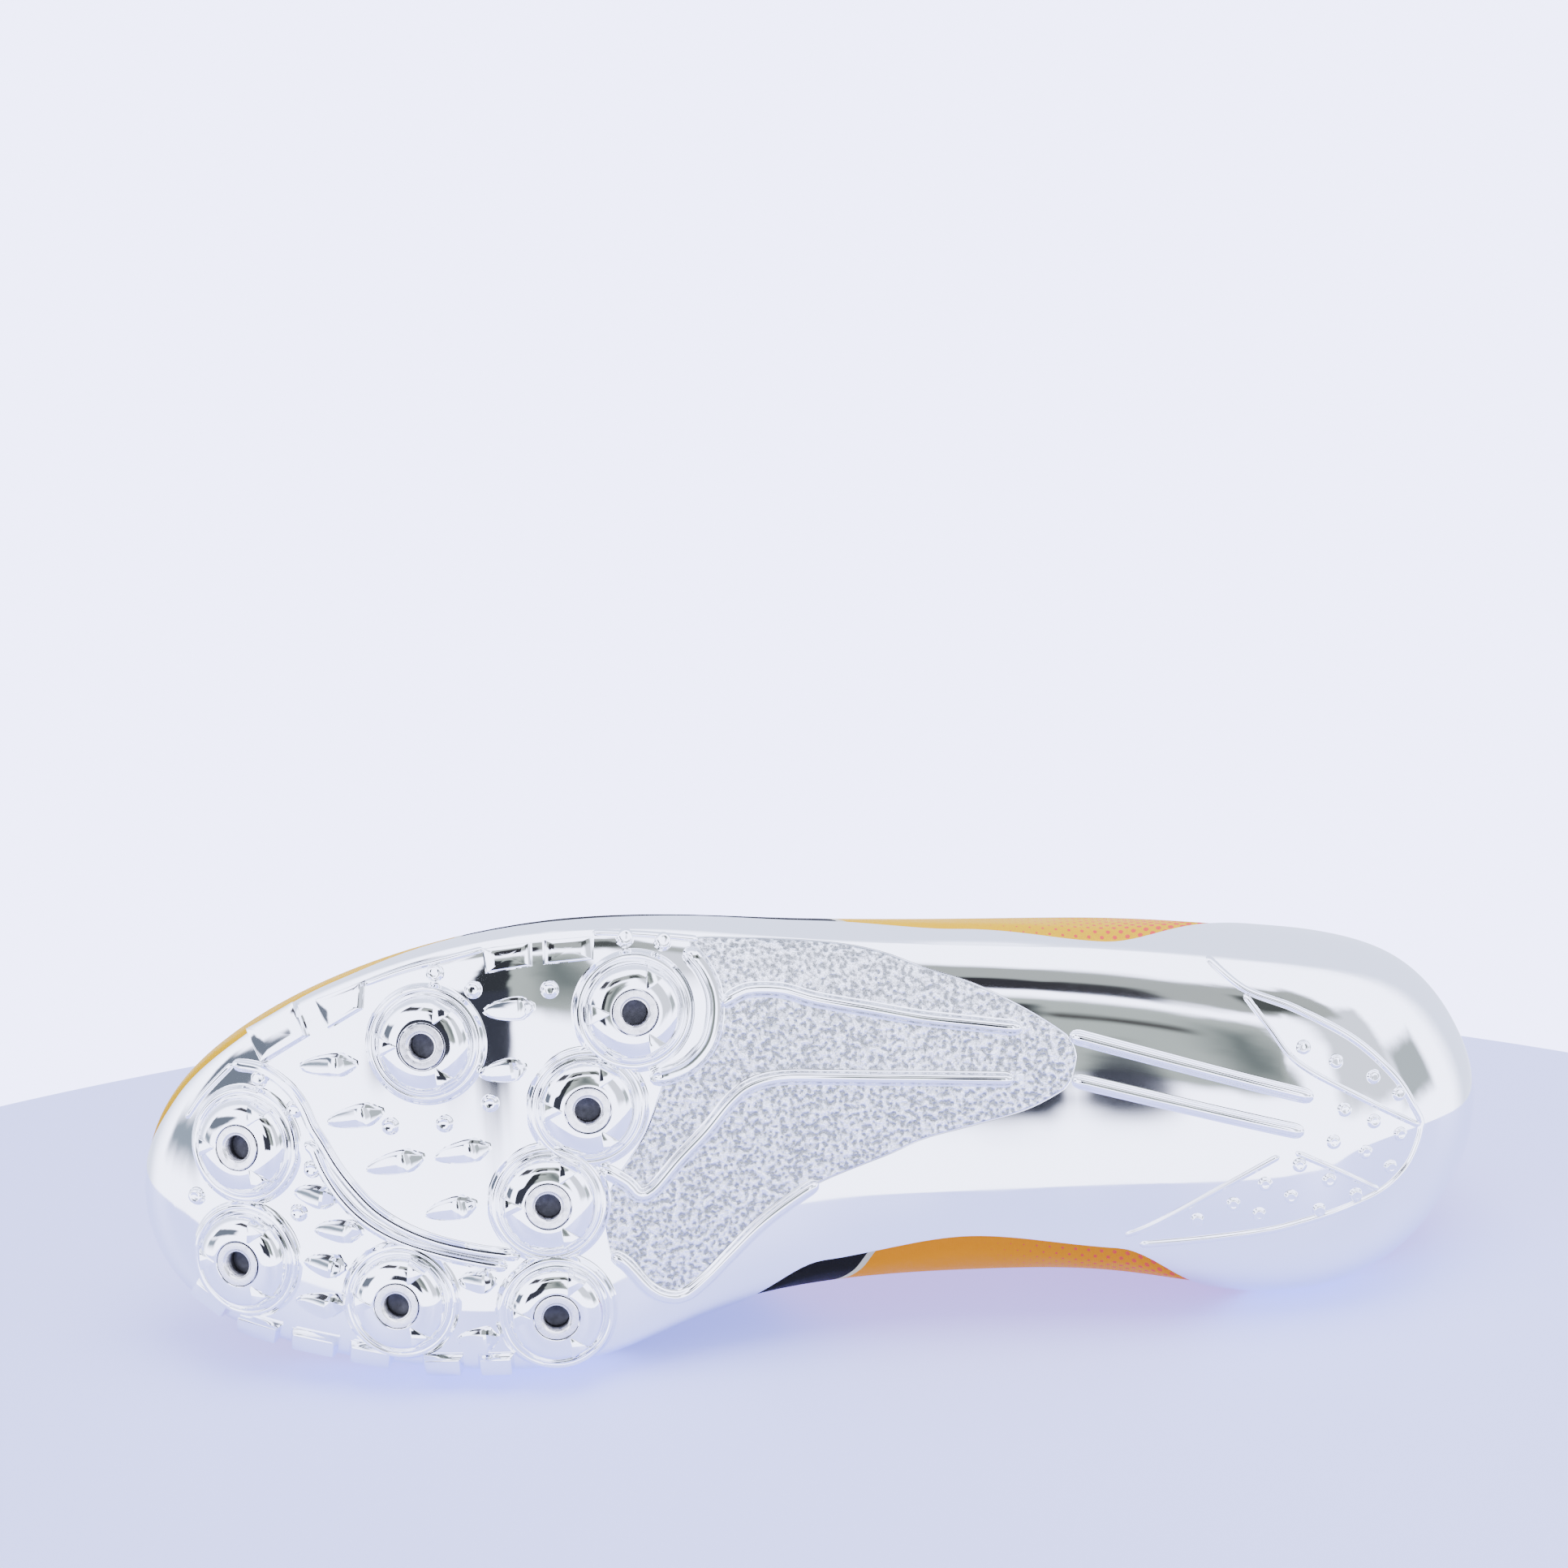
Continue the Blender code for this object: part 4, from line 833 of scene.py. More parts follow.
def turned(section, steps=SEAT_STEPS):
    """Points of a section, in millimetres, turned about the z axis."""
    turns = np.arange(steps) * 2 * pi / steps
    return np.array([[(r * cos(t) / 1000, r * sin(t) / 1000, h / 1000) for t in turns]
                     for r, h in section])


def set_on_seat(piece, seat, draped=False):
    """Moves a piece from its own axes onto a seat; low points follow the plate."""
    centre, axis, along, side = seat
    for v in piece.data.vertices:
        x, y, h = v.co
        stiff = centre + along * x + side * y + axis * h
        if draped and h < DRAPE_HIGH:
            point, out = on_sole(stiff.x, stiff.y)
            share = min(max((h - DRAPE_LOW) / (DRAPE_HIGH - DRAPE_LOW), 0), 1)
            share = share * share * (3 - 2 * share)
            stiff = (point + out * h).lerp(stiff, share)
        v.co = stiff
    return piece


# Distance from the axis, half-width and height of a gusset's corners, in millimetres
GUSSET_FOOT = 0.6
GUSSET_TOP = ((5.3, 0.25, 4.62), (8.9, 1.95, 4.42), (9.9, 2.15, 2.3))


def make_gusset(name, turn):
    """A wedge, narrow at the insert and wide at the rim, from loops of four corners, capped and bevelled.
    """
    outer = np.array([[(r, -w, h), (r, w, h)] for r, w, h in GUSSET_TOP]) / 1000
    inner = np.array([[(r, -w, GUSSET_FOOT), (r, w, GUSSET_FOOT)] for r, w, h in GUSSET_TOP]) / 1000
    loops = [[low[0], high[0], high[1], low[1]] for low, high in zip(inner, outer)]
    piece = grid_piece(name, loops, closed=True)
    weld(piece, 0.000001)
    cap_ends(piece)
    change = piece.modifiers.new("edges", "BEVEL")
    change.width, change.segments, change.limit_method = 0.00014, 2, "ANGLE"
    apply_all(piece)
    even_normals(piece)
    piece.data.transform(Matrix.Rotation(turn, 4, "Z"))
    return piece


def make_seat(number, place):
    seat = seat_frame(place)
    boss = grid_piece("seat_%d" % number, turned(SEAT_SECTION), closed=True)
    weld(boss)
    pieces = [set_on_seat(boss, seat, draped=True)]
    for i in range(3):
        pieces.append(set_on_seat(make_gusset("gusset_%d_%d" % (number, i), 2 * pi * i / 3), seat))
    return join("spike_seat_%d" % number, pieces)


seats = [make_seat(number + 1, place) for number, place in enumerate(SEATS)]

# %% [markdown]
# The insert is machined steel with an open thread. A thread is a cylinder whose radius rises and
# falls once for each turn and each pitch, so it is a grid wrapped round the hole.

# %% Threaded inserts
# The thread in millimetres: pitch, depth, how far below the rim it starts, its foot, its rows
PITCH, THREAD_DEPTH, THREAD_START, THREAD_LOW, THREAD_ROW = 0.8, 0.28, 0.4, 1.0, 0.08
BORE_EDGE = 0.0031
INSERT_TOP = (BOSS_HEIGHT + INSERT_PROUD) * 1000
INSERT_SECTION = ((4.62, 2.2), (4.62, INSERT_TOP - 0.18), (4.46, INSERT_TOP), (4.0, INSERT_TOP + 0.02),
                  (3.3, INSERT_TOP), (3.12, INSERT_TOP - 0.12), (2.95, INSERT_TOP - 0.35))


def thread_rows():
    turns = np.arange(SEAT_STEPS) * 2 * pi / SEAT_STEPS
    rows = []
    for h in np.arange(INSERT_TOP - THREAD_START, THREAD_LOW, -THREAD_ROW):
        wave = (h / PITCH - turns / (2 * pi)) % 1 - 0.5
        radius = HOLE_RADIUS * 1000 + THREAD_DEPTH * (1 - 2 * np.abs(wave))
        rows.append(np.stack((radius * np.cos(turns), radius * np.sin(turns), 0 * turns + h), -1) / 1000)
    return np.array(rows)


def make_insert(number, place):
    floor = turned(((2.5, THREAD_LOW), (1.2, THREAD_LOW - 0.3), (0.0, THREAD_LOW - 0.5)))
    points = np.concatenate((turned(INSERT_SECTION), thread_rows(), floor))
    piece = grid_piece("threaded_insert_%d" % number, points, closed=True)
    weld(piece, 0.000002)
    mark(piece, "deep", [INSERT_TOP - v.co.z * 1000 if hypot(v.co.x, v.co.y) < BORE_EDGE else 0.0
                         for v in piece.data.vertices])
    return set_on_seat(piece, seat_frame(place))


inserts = [make_insert(number + 1, place) for number, place in enumerate(SEATS)]

# %% Finish the plate and what is moulded on it
def thicken(piece, wall, rim, inside_slot=0):
    change = piece.modifiers.new("wall", "SOLIDIFY")
    change.thickness, change.offset, change.use_quality_normals = wall, -1, True
    change.material_offset = inside_slot
    change.material_offset_rim = inside_slot
    change = piece.modifiers.new("rim", "BEVEL")
    change.width, change.segments, change.limit_method, change.angle_limit = rim, 3, "ANGLE", radians(60)
    apply_all(piece)


thicken(plate, PLATE_WALL, 0.0004)
finish_piece(plate, PLATING, ("spike_plate",))
for piece in [ridges, teeth, studs, lugs, blocks] + seats:
    mark(piece, "field", np.full(len(piece.data.vertices), -5.0))
    finish_piece(piece, PLATING, angle=35)

# %% Steel of the inserts
def make_steel():
    """Turned steel, dull, with painted shade that darkens it down the bore, and random patches of dirt."""
    material, r, shader = new_material("insert_steel", (0.70, 0.69, 0.68), 1.0, 0.28)
    place = r.place()
    deep = r.read("deep")
    dirt = r.noise(place, 700.0, 4.0)
    patches = r.math("MULTIPLY", r.ramp(dirt, 0.55, 0.75), 0.25)
    # Painted shade: the colour darkens with depth down the bore; the noise patches added to it are dirt.
    bore_shade_and_dirt = r.math("ADD", r.ramp(deep, 0.3, 3.2), patches, clamp=True)
    r.link(r.mix(bore_shade_and_dirt, (0.74, 0.73, 0.72), (0.050, 0.050, 0.055)), shader.inputs["Base Color"])
    gloss = use_group(r, SMUDGE, place=place, low=0.16, high=0.34, size=900.0)
    r.link(r.math("ADD", gloss, r.math("MULTIPLY", bore_shade_and_dirt, 0.25)), shader.inputs["Roughness"])
    marks = r.noise(place, 2600.0, 2.0)
    r.bump(shader, 0.2, 0.00006, marks)
    return material


STEEL = make_steel()
for number, piece in enumerate(inserts):
    finish_piece(piece, STEEL, ("spike_receptacle_%d" % (number + 1),), angle=30)

# %% [markdown]
# The upper is one thin shell of coated cloth, lasted under the plate. It is the same last, a
# little deeper. A band of doubled cloth round the throat and collar stands out by its thickness,
# and shallow creases cross the vamp where the foot bends.

# %% Shape of the upper
UPPER_COLUMNS = 336
MARGIN_STEP = 0.012
BAND_START = 0.80
UNDER = PLATE_WALL + GAP
TUCK_ROWS, SIDE_ROWS = 8, 52
BAND_ROWS = (0.05, 0.11, 0.25, 0.45, 0.65, 0.82, 0.94, 1.0)
CREASE_DEPTH, CREASE_PITCH = 0.00045, 0.0125
CREASE_FROM, CREASE_TO, CREASE_LOW = 0.168, 0.222, 0.026
# Folds at the heel: depth, waves up the side and along it, where they are
FOLD_DEPTH, FOLD_UP, FOLD_ALONG = 0.0003, 420, 90
FOLD_FROM, FOLD_TO, FOLD_LOW = 0.030, 0.105, 0.030
# Steps of q from the plate's edge to full depth, and on to the widest place
EDGE_STEP, WIDE_STEP = 0.05, 0.08


def smooth(t):
    t = np.clip(t, 0, 1)
    return t * t * (3 - 2 * t)


def margin_edge(u):
    return np.minimum(0.55 * plate_edge(u), 0.54)


def crease(points):
    """Depth of the creases over the vamp, strongest on top, and of the faint folds at the heel."""
    x, y, z = np.moveaxis(points, -1, 0)
    bend = x + 0.10 * np.abs(y - AXIS_Y * HALF_WIDTH) + 0.0015 * np.sin(y * 260)
    inside = smooth((x - CREASE_FROM) / 0.012) * smooth((CREASE_TO - x) / 0.014)
    high = smooth((z - CREASE_LOW) / 0.012)
    fold = FOLD_DEPTH * np.sin(z * FOLD_UP + x * FOLD_ALONG) * smooth((FOLD_TO - x) / 0.02)
    fold = fold * smooth((z - FOLD_LOW) / 0.01) * smooth((x - FOLD_FROM) / 0.02)
    return CREASE_DEPTH * (0.5 + 0.5 * np.sin(2 * pi * bend / CREASE_PITCH)) * inside * high + fold


def make_upper():
    u = np.arange(UPPER_COLUMNS) * AROUND / UPPER_COLUMNS
    edge = plate_edge(u)
    start, over = margin_edge(u) + MARGIN_STEP, edge + EDGE_STEP
    wide = np.maximum(1.0, over + WIDE_STEP)
    band = wide + (2 - wide) * BAND_START
    places, depths = [], []
    for i in range(TUCK_ROWS):
        places.append(start + (edge - start) * i / (TUCK_ROWS - 1))
        depths.append(UNDER + 0 * u)
    for i in range(SIDE_ROWS):
        t = i / (SIDE_ROWS - 1)
        places.append(over + (band - over) * t)
        depths.append(UNDER + (BAND_STEP - UNDER) * smooth(t / 0.10) + 0 * u)
    for t in BAND_ROWS:
        places.append(band + (2 - band) * t)
        depths.append(BAND_STEP * (1 - smooth((t - 0.02) / 0.06)) + 0 * u)
    places, depths = np.array(places), np.array(depths)
    bare = last(u, places)
    depths = depths + crease(bare) * (places > over + EDGE_STEP) * (places < band)
    points = bare - normal(u, places) * depths[..., None]
    upper = grid_piece("upper_shell", points, closed=True)
    closed = np.concatenate((points, points[:, :1]), 1)
    steps = np.linalg.norm(np.diff(closed, axis=0), axis=-1)
    from_top = np.concatenate((np.cumsum(steps[::-1], 0)[::-1], np.zeros((1, closed.shape[1]))))
    band_row = TUCK_ROWS + SIDE_ROWS - 1
    mark(upper, "band", (from_top[band_row][None] - from_top) * 1000)
    up_side = np.concatenate((np.zeros((1, closed.shape[1])), np.cumsum(steps, 0)))
    up_side = up_side - up_side[TUCK_ROWS][None]
    flat = np.stack((closed[..., 0], up_side, closed[..., 1]), -1) * 1000
    place = upper.data.attributes.new("side", "FLOAT_VECTOR", "POINT")
    place.data.foreach_set("vector", flat.astype(np.float32).ravel())
    weld(upper)
    return upper


def face_out(piece, middle):
    """Turns the faces so that they point away from a point."""
    total = sum((Vector(n.vector).dot(v.co - Vector(middle)))
                for n, v in zip(piece.data.vertex_normals, piece.data.vertices))
    if total < 0:
        edit(piece, lambda: bpy.ops.mesh.flip_normals())


upper = make_upper()
face_out(upper, (LENGTH / 2, AXIS_Y * HALF_WIDTH, 0.03))

# %% [markdown]
# The cloth goes from yellow at the toe and the lateral side to orange at the medial side. Dots
# of red grow towards the heel, a plain black panel with white piping crosses the middle, and two
# rows of stitches follow the band. All of it is placed in millimetres on the shoe's side.

# %% Finish of the upper
YELLOW, ORANGE = (1.0, 0.62, 0.0), (1.0, 0.36, 0.0)
DOT_RED, PANEL_BLACK, PIPING_WHITE = (1.0, 0.10, 0.10), (0.012, 0.012, 0.014), (0.85, 0.85, 0.87)
DOT_CELL = 1.9
DOTS_FROM, DOTS_TO = 108.0, 44.0
# The panel's edges: length along the shoe at the plate's rim, and how much further up the side
PANEL_FRONT, PANEL_BACK = (212.0, -0.45), (125.5, 0.85)
PIPING = 0.8
STITCH_COUNT = 330
STITCH_ROWS = (1.3, 3.6)


def make_cloth():
    material, r, shader = new_material("coated_cloth", YELLOW, 0.0, 0.45)
    x, up_side, y = r.split(r.read("side", out=1))
    medial = r.ramp(y, 14.0, -22.0)
    ground = r.mix(medial, YELLOW, ORANGE)
    tone = r.noise(r.place(), 35.0, 3.0)
    ground = r.mix(r.math("MULTIPLY", tone, 0.18), ground, ORANGE)
    cell = 1 / (DOT_CELL * 2 ** 0.5)
    across = r.math("MULTIPLY", r.math("ADD", x, up_side), cell)
    along = r.math("MULTIPLY", r.math("SUBTRACT", x, up_side), cell)
    a = r.math("SUBTRACT", r.math("FRACT", across), 0.5)
    b = r.math("SUBTRACT", r.math("FRACT", along), 0.5)
    away = r.math("SQRT", r.math("ADD", r.math("MULTIPLY", a, a), r.math("MULTIPLY", b, b)))
    size = r.add("ShaderNodeMapRange", {0: x, 1: DOTS_FROM, 2: DOTS_TO, 3: 0.0, 4: 0.46})
    dots = r.ramp(r.math("SUBTRACT", size, away), -0.03, 0.05)
    colour = r.mix(dots, ground, DOT_RED)
    front = r.math("SUBTRACT", r.math("MULTIPLY_ADD", up_side, PANEL_FRONT[1], PANEL_FRONT[0]), x)
    back = r.math("SUBTRACT", x, r.math("MULTIPLY_ADD", up_side, PANEL_BACK[1], PANEL_BACK[0]))
    panel = r.math("MINIMUM", front, back)
    inside = r.ramp(panel, -0.08, 0.08)
    piping = r.ramp(r.math("SUBTRACT", PIPING, r.math("ABSOLUTE", panel)), -0.08, 0.08)
    band = r.read("band")
    on_band = r.ramp(band, -0.05, 0.12)
    edging = r.math("MAXIMUM", inside, on_band)
    colour = r.mix(edging, colour, PANEL_BLACK)
    off_band = r.math("SUBTRACT", 1.0, on_band)
    line = r.math("MULTIPLY", piping, off_band)
    colour = r.mix(line, colour, PIPING_WHITE)
    around, _, _ = r.split(r.unwrapped())
    wave = r.math("SINE", r.math("MULTIPLY", around, 2 * pi * STITCH_COUNT))
    dash = r.ramp(wave, -0.55, -0.25)
    rows = 0.0
    for row in STITCH_ROWS:
        near = r.math("ABSOLUTE", r.math("SUBTRACT", band, row))
        rows = r.math("MAXIMUM", rows, r.ramp(near, 0.34, 0.16))
    stitch = r.math("MULTIPLY", rows, dash)
    colour = r.mix(stitch, colour, (0.95, 0.42, 0.02))
    r.link(colour, shader.inputs["Base Color"])
    weave = use_group(r, WEAVE, place=r.read("side", out=1), thread=0.55)
    height = r.math("ADD", r.math("MULTIPLY", weave, 0.30), r.math("MULTIPLY", line, 0.7))
    height = r.math("ADD", height, r.math("MULTIPLY", stitch, 1.6))
    height = r.math("ADD", height, r.math("MULTIPLY", dots, 0.35))
    r.bump(shader, 0.6, 0.00022, height)
    gloss = use_group(r, SMUDGE, place=r.place(), low=0.36, high=0.55, size=70.0)
    r.link(r.math("ADD", gloss, r.math("MULTIPLY", edging, 0.15)), shader.inputs["Roughness"])
    shader.inputs["Specular IOR Level"].default_value = 0.08
    return material


def make_plain_cloth(name, colour, thread, other):
    """Woven cloth of one colour with a little of another in the dips."""
    material, r, shader = new_material(name, colour, 0.0, 0.8)
    place = r.add("ShaderNodeVectorMath", {0: r.place(), 3: 1000.0}, operation="SCALE")
    weave = use_group(r, WEAVE, place=place, thread=thread)
    tone = r.noise(r.place(), 120.0, 4.0)
    shade = r.math("MULTIPLY", r.math("SUBTRACT", 1.0, weave), r.math("ADD", tone, 0.1))
    r.link(r.mix(shade, colour, other), shader.inputs["Base Color"])
    r.bump(shader, 0.7, 0.0003, weave)
    gloss = use_group(r, SMUDGE, place=r.place(), low=0.68, high=0.9, size=90.0)
    r.link(gloss, shader.inputs["Roughness"])
    shader.inputs["Sheen Weight"].default_value = 0.3
    return material


CLOTH = make_cloth()
LINING = make_plain_cloth("lining_mesh", (0.020, 0.020, 0.023), 1.2, (0.06, 0.06, 0.07))
upper.data.materials.append(CLOTH)
upper.data.materials.append(LINING)
thicken(upper, UPPER_WALL, 0.0004, inside_slot=1)
finish_piece(upper, None, ("upper",), angle=50)

# %% [markdown]
# The insole is a thin foam pad under black cloth. Only its top is seen, through the collar, so
# it is the last's underside again, one insole's thickness up, with its edge rounded.

# %% Insole
INSOLE_EDGE, INSOLE_STEPS = 0.60, 30
MIDDLE = PLATE_WALL + GAP + UPPER_WALL


def make_insole():
    u = np.arange(UPPER_COLUMNS) * AROUND / UPPER_COLUMNS
    square = read_rows(u)[:, 3]
    share = np.sin(INSOLE_EDGE * pi / 2) ** (2 / square)
    rows = np.array(even_rows(share, square, INSOLE_STEPS))
    depths = np.full(rows.shape, MIDDLE + GAP + INSOLE_THICK)
    pad = grid_piece("insole_pad", skin(u, rows, depths), closed=True)
    weld(pad)
    face_out(pad, (LENGTH / 2, AXIS_Y * HALF_WIDTH, -0.5))
    thicken(pad, INSOLE_THICK - INSOLE_LIFT - 0.0001, 0.0004)
    return pad


INSOLE_CLOTH = make_plain_cloth("insole_cloth", (0.022, 0.022, 0.026), 0.9, (0.10, 0.10, 0.11))
finish_piece(make_insole(), INSOLE_CLOTH, ("insole",))

# %% [markdown]
# The throat is bridged by a saddle between the upper's two top edges. The tongue lies under it
# and the lace over it, so both are worked out from the same curve.

# %% The saddle over the throat
THROAT_REACH = 0.22
NEAR_TOP = 1.97
SADDLE_PULL = 0.9


def saddle(k, w, depth=0.0):
    """Point over the throat: k is the meridian on the lateral side, w from medial -1 to lateral 1."""
    other = AROUND - k
    if abs(w) >= 0.5:
        return skin(k if w > 0 else other, 2.0 - (abs(w) - 0.5) / 0.5 * THROAT_REACH, depth)
    a, b = skin(other, 2.0, depth), skin(k, 2.0, depth)
    way_a, way_b = last(other, 2.0) - last(other, NEAR_TOP), last(k, 2.0) - last(k, NEAR_TOP)
    size = np.linalg.norm(b - a) * SADDLE_PULL
    return hermite(w + 0.5, a, unit(way_a) * size, b, -unit(way_b) * size)


def saddle_normal(k, w):
    along = saddle(k + 0.05, w) - saddle(k - 0.05, w)
    across = saddle(k, w + 0.02) - saddle(k, w - 0.02)
    return unit(np.cross(along, across))


# %% Tongue
TONGUE_FIRST, TONGUE_LAST, TONGUE_STAND = 5.5, 8.8, 0.016
TONGUE_FRONT = ((4.0, 2.0), (3.3, 1.88))
TONGUE_LOOPS = 13
TONGUE_LEAN = (0.25, 0, 0.55)
# Rings of the part that stands up at the collar: share of the width, share of TONGUE_STAND
TONGUE_TOP = ((0.84, 1.04), (0.92, 1.0), (0.945, 0.75), (0.97, 0.5), (0.985, 0.25))
TOE = 13
TONGUE_ACROSS = np.array((-0.86, -0.77, -0.68, -0.59, -0.5, -0.4, -0.3, -0.2, -0.1, 0.0,
                          0.1, 0.2, 0.3, 0.4, 0.5, 0.59, 0.68, 0.77, 0.86))


def make_tongue():
    deep = BAND_STEP + UPPER_WALL + GAP + TONGUE_EASE
    loops = []
    for number in range(TONGUE_LOOPS):
        k = TONGUE_FIRST + (TONGUE_LAST - TONGUE_FIRST) * number / (TONGUE_LOOPS - 1)
        top, bottom = [], []
        for place in TONGUE_ACROSS:
            w = place * (0.62 + 0.19 * min(number / 2, 2))
            n, p = saddle_normal(k, w), saddle(k, w)
            thin = 1 - 0.45 * (abs(place) / TONGUE_ACROSS[-1]) ** 4
            top.append(p - n * deep)
            bottom.append(p - n * (deep + TONGUE_THICK * thin))
        loops.append(np.array(top + bottom[::-1]))
    first, second = loops[0], loops[2]
    middle = first.mean(0)
    move = unit(unit(middle - second.mean(0)) + np.array(TONGUE_LEAN)) * TONGUE_STAND
    stand = [middle + (first - middle) * keep + move * rise for keep, rise in TONGUE_TOP]
    front = []
    for spread, q in TONGUE_FRONT:
        far = BAND_STEP + UPPER_WALL + GAP + TONGUE_EASE * 3
        u = TOE - TONGUE_ACROSS * spread
        front.append(np.concatenate((skin(u, q + 0 * u, far + 0 * u),
                                     skin(u, q + 0 * u, far + TONGUE_THICK + 0 * u)[::-1])))
    rings = stand + loops + front
    rings.insert(0, np.repeat(stand[0].mean(0)[None], len(first), 0) * 0.5 + stand[0] * 0.5)
    tongue = grid_piece("tongue_pad", rings, closed=True)
    weld(tongue)
    cap_ends(tongue)
    even_normals(tongue)
    change = tongue.modifiers.new("soft", "SUBSURF")
    change.levels = change.render_levels = 2
    apply_all(tongue)
    return tongue


TONGUE_CLOTH = make_plain_cloth("tongue_cloth", (0.95, 0.33, 0.01), 0.8, (0.55, 0.10, 0.01))
finish_piece(make_tongue(), TONGUE_CLOTH, ("tongue",), angle=60)

# %% [markdown]
# The lace is flat and woven. Each strand leaves an eyelet, rises over the throat and goes down
# into the next eyelet on the other side. One family of strands runs over the other.

# %% Lace and eyelets
EYELETS = (5.75, 6.55, 7.35, 8.15, 8.95)
EYELET_PLACE = 0.72
LACE_WIDTH, LACE_THICK, LACE_EASE = 0.0056, 0.0013, 0.0003
LACE_LIFTS = (0.0006, 0.0012)
LACE_STEP = 0.0004
LACE_STEPS = 36
LACE_RIBS, LACE_CORDS = 38, 9
# How deep an end goes into its eyelet, and over which share of the strand
LACE_DIP, DIP_SHARE = 0.0016, 0.05
# Cross-section of the lace: shares of half its width and of its thickness
LACE_SECTION = ((-1.0, 0.5), (-0.94, 0.14), (-0.78, 0.0), (-0.4, -0.02), (0.0, -0.02), (0.4, -0.02),
                (0.78, 0.0), (0.94, 0.14), (1.0, 0.5), (0.94, 0.86), (0.78, 1.0), (0.4, 1.02),
                (0.0, 1.02), (-0.4, 1.02), (-0.78, 1.0), (-0.94, 0.86))
EYELET_RADIUS, EYELET_RIM, HOLE_LIFT = 0.0021, 0.00055, 0.00006


def make_strand(name, k_from, k_to, side, base, lift):
    def at(t):
        return k_from + (k_to - k_from) * t, side * EYELET_PLACE * (1 - 2 * t)

    loops = []
    for i in range(LACE_STEPS + 1):
        t = i / LACE_STEPS
        p, n = saddle(*at(t)), saddle_normal(*at(t))
        run = unit(saddle(*at(min(t + 0.03, 1.0))) - saddle(*at(max(t - 0.03, 0.0))))
        wide = unit(np.cross(run, n))
        dip = 1 - smooth(min(t, 1 - t) / DIP_SHARE)
        narrow = 1 - 0.5 * dip
        raised = GAP + LACE_EASE + base + lift * sin(pi * t) - dip * LACE_DIP
        loops.append([p + wide * a * narrow * LACE_WIDTH / 2 + n * (raised + up * LACE_THICK)
                      for a, up in LACE_SECTION])
    strand = grid_piece(name, loops, closed=True)
    weld(strand)
    return strand


runs = [(EYELETS[-1], EYELETS[-1], 1, 2 * LACE_STEP, LACE_LIFTS[0])]
for low, high in zip(EYELETS, EYELETS[1:]):
    runs.append((high, low, 1, 0.0, LACE_LIFTS[0]))
    runs.append((high, low, -1, LACE_STEP, LACE_LIFTS[1]))
lace = join("lace_strands", [make_strand("strand_%d" % i, *run) for i, run in enumerate(runs)])
face_out(lace, (LENGTH / 2, 0, 0))


def make_lace_cloth():
    material, r, shader = new_material("lace_weave", (0.014, 0.014, 0.016), 0.0, 0.75)
    across, along, _ = r.split(r.unwrapped())
    ribs = r.math("ABSOLUTE", r.math("SINE", r.math("MULTIPLY", along, 2 * pi * LACE_RIBS)))
    cords = r.math("ABSOLUTE", r.math("SINE", r.math("MULTIPLY", across, 2 * pi * LACE_CORDS)))
    weave = r.math("MULTIPLY", ribs, cords)
    r.link(r.mix(weave, (0.005, 0.005, 0.006), (0.035, 0.035, 0.04)), shader.inputs["Base Color"])
    r.bump(shader, 0.8, 0.0003, weave)
    gloss = use_group(r, SMUDGE, place=r.place(), low=0.6, high=0.8, size=200.0)
    r.link(gloss, shader.inputs["Roughness"])
    return material


finish_piece(lace, make_lace_cloth(), ("lace",), angle=60)


def make_eyelets():
    rims, holes = [], []
    for k in EYELETS:
        for side in (-1, 1):
            w = side * EYELET_PLACE
            p, n = Vector(saddle(k, w)), Vector(saddle_normal(k, w))
            turn = n.to_track_quat("Z", "Y").to_matrix().to_4x4()
            bpy.ops.mesh.primitive_torus_add(major_radius=EYELET_RADIUS, minor_radius=EYELET_RIM,
                                             major_segments=32, minor_segments=10)
            rim = bpy.context.object
            rim.data.transform(Matrix.Translation(p) @ turn @ Matrix.Diagonal((1, 1, 0.5, 1)))
            rims.append(rim)
            bpy.ops.mesh.primitive_circle_add(vertices=24, radius=EYELET_RADIUS, fill_type="NGON")
            hole = bpy.context.object
            hole.data.transform(Matrix.Translation(p + n * HOLE_LIFT) @ turn)
            holes.append(hole)
    return join("eyelet_rims", rims), join("eyelet_holes", holes)


rims, holes = make_eyelets()
BINDING = make_plain_cloth("eyelet_binding", (0.03, 0.03, 0.035), 0.4, (0.1, 0.1, 0.1))
finish_piece(rims, BINDING, angle=60)
finish_piece(holes, LINING)

# %% [markdown]
# The camera looks square at the sole, a little from the lateral side, as in the photograph, and
# rides with the shoe's own directions, so laying the shoe down brings the camera down with it.

# %% Camera
CAMERA_AWAY = 1.100
CAMERA_PITCH, CAMERA_ROLL = 6.0, -2.4
CAMERA_AIM = (0.1375, 0.0, 0.005)
AIM_ACROSS, AIM_DOWN = 0.005366, 0.071430
LENS, SENSOR = 122.24, 36.0


def make_camera():
    back = Vector((0, sin(radians(CAMERA_PITCH)), -cos(radians(CAMERA_PITCH))))
    level = Vector((-1, 0, 0))
    rise = back.cross(level)
    right = level * cos(radians(CAMERA_ROLL)) + rise * sin(radians(CAMERA_ROLL))
    up = back.cross(right)
    place = Vector(CAMERA_AIM) + back * CAMERA_AWAY - right * AIM_ACROSS + up * AIM_DOWN
    turn = Matrix((right, up, back)).transposed().to_4x4()
    data = bpy.data.cameras.new("camera")
    data.lens, data.sensor_width = LENS, SENSOR
    data.clip_start, data.clip_end = 0.01, 20
    camera = bpy.data.objects.new("camera", data)
    bpy.context.scene.collection.objects.link(camera)
    camera.matrix_world = LAID @ Matrix.Translation(place) @ turn
    bpy.context.scene.camera = camera
    return camera


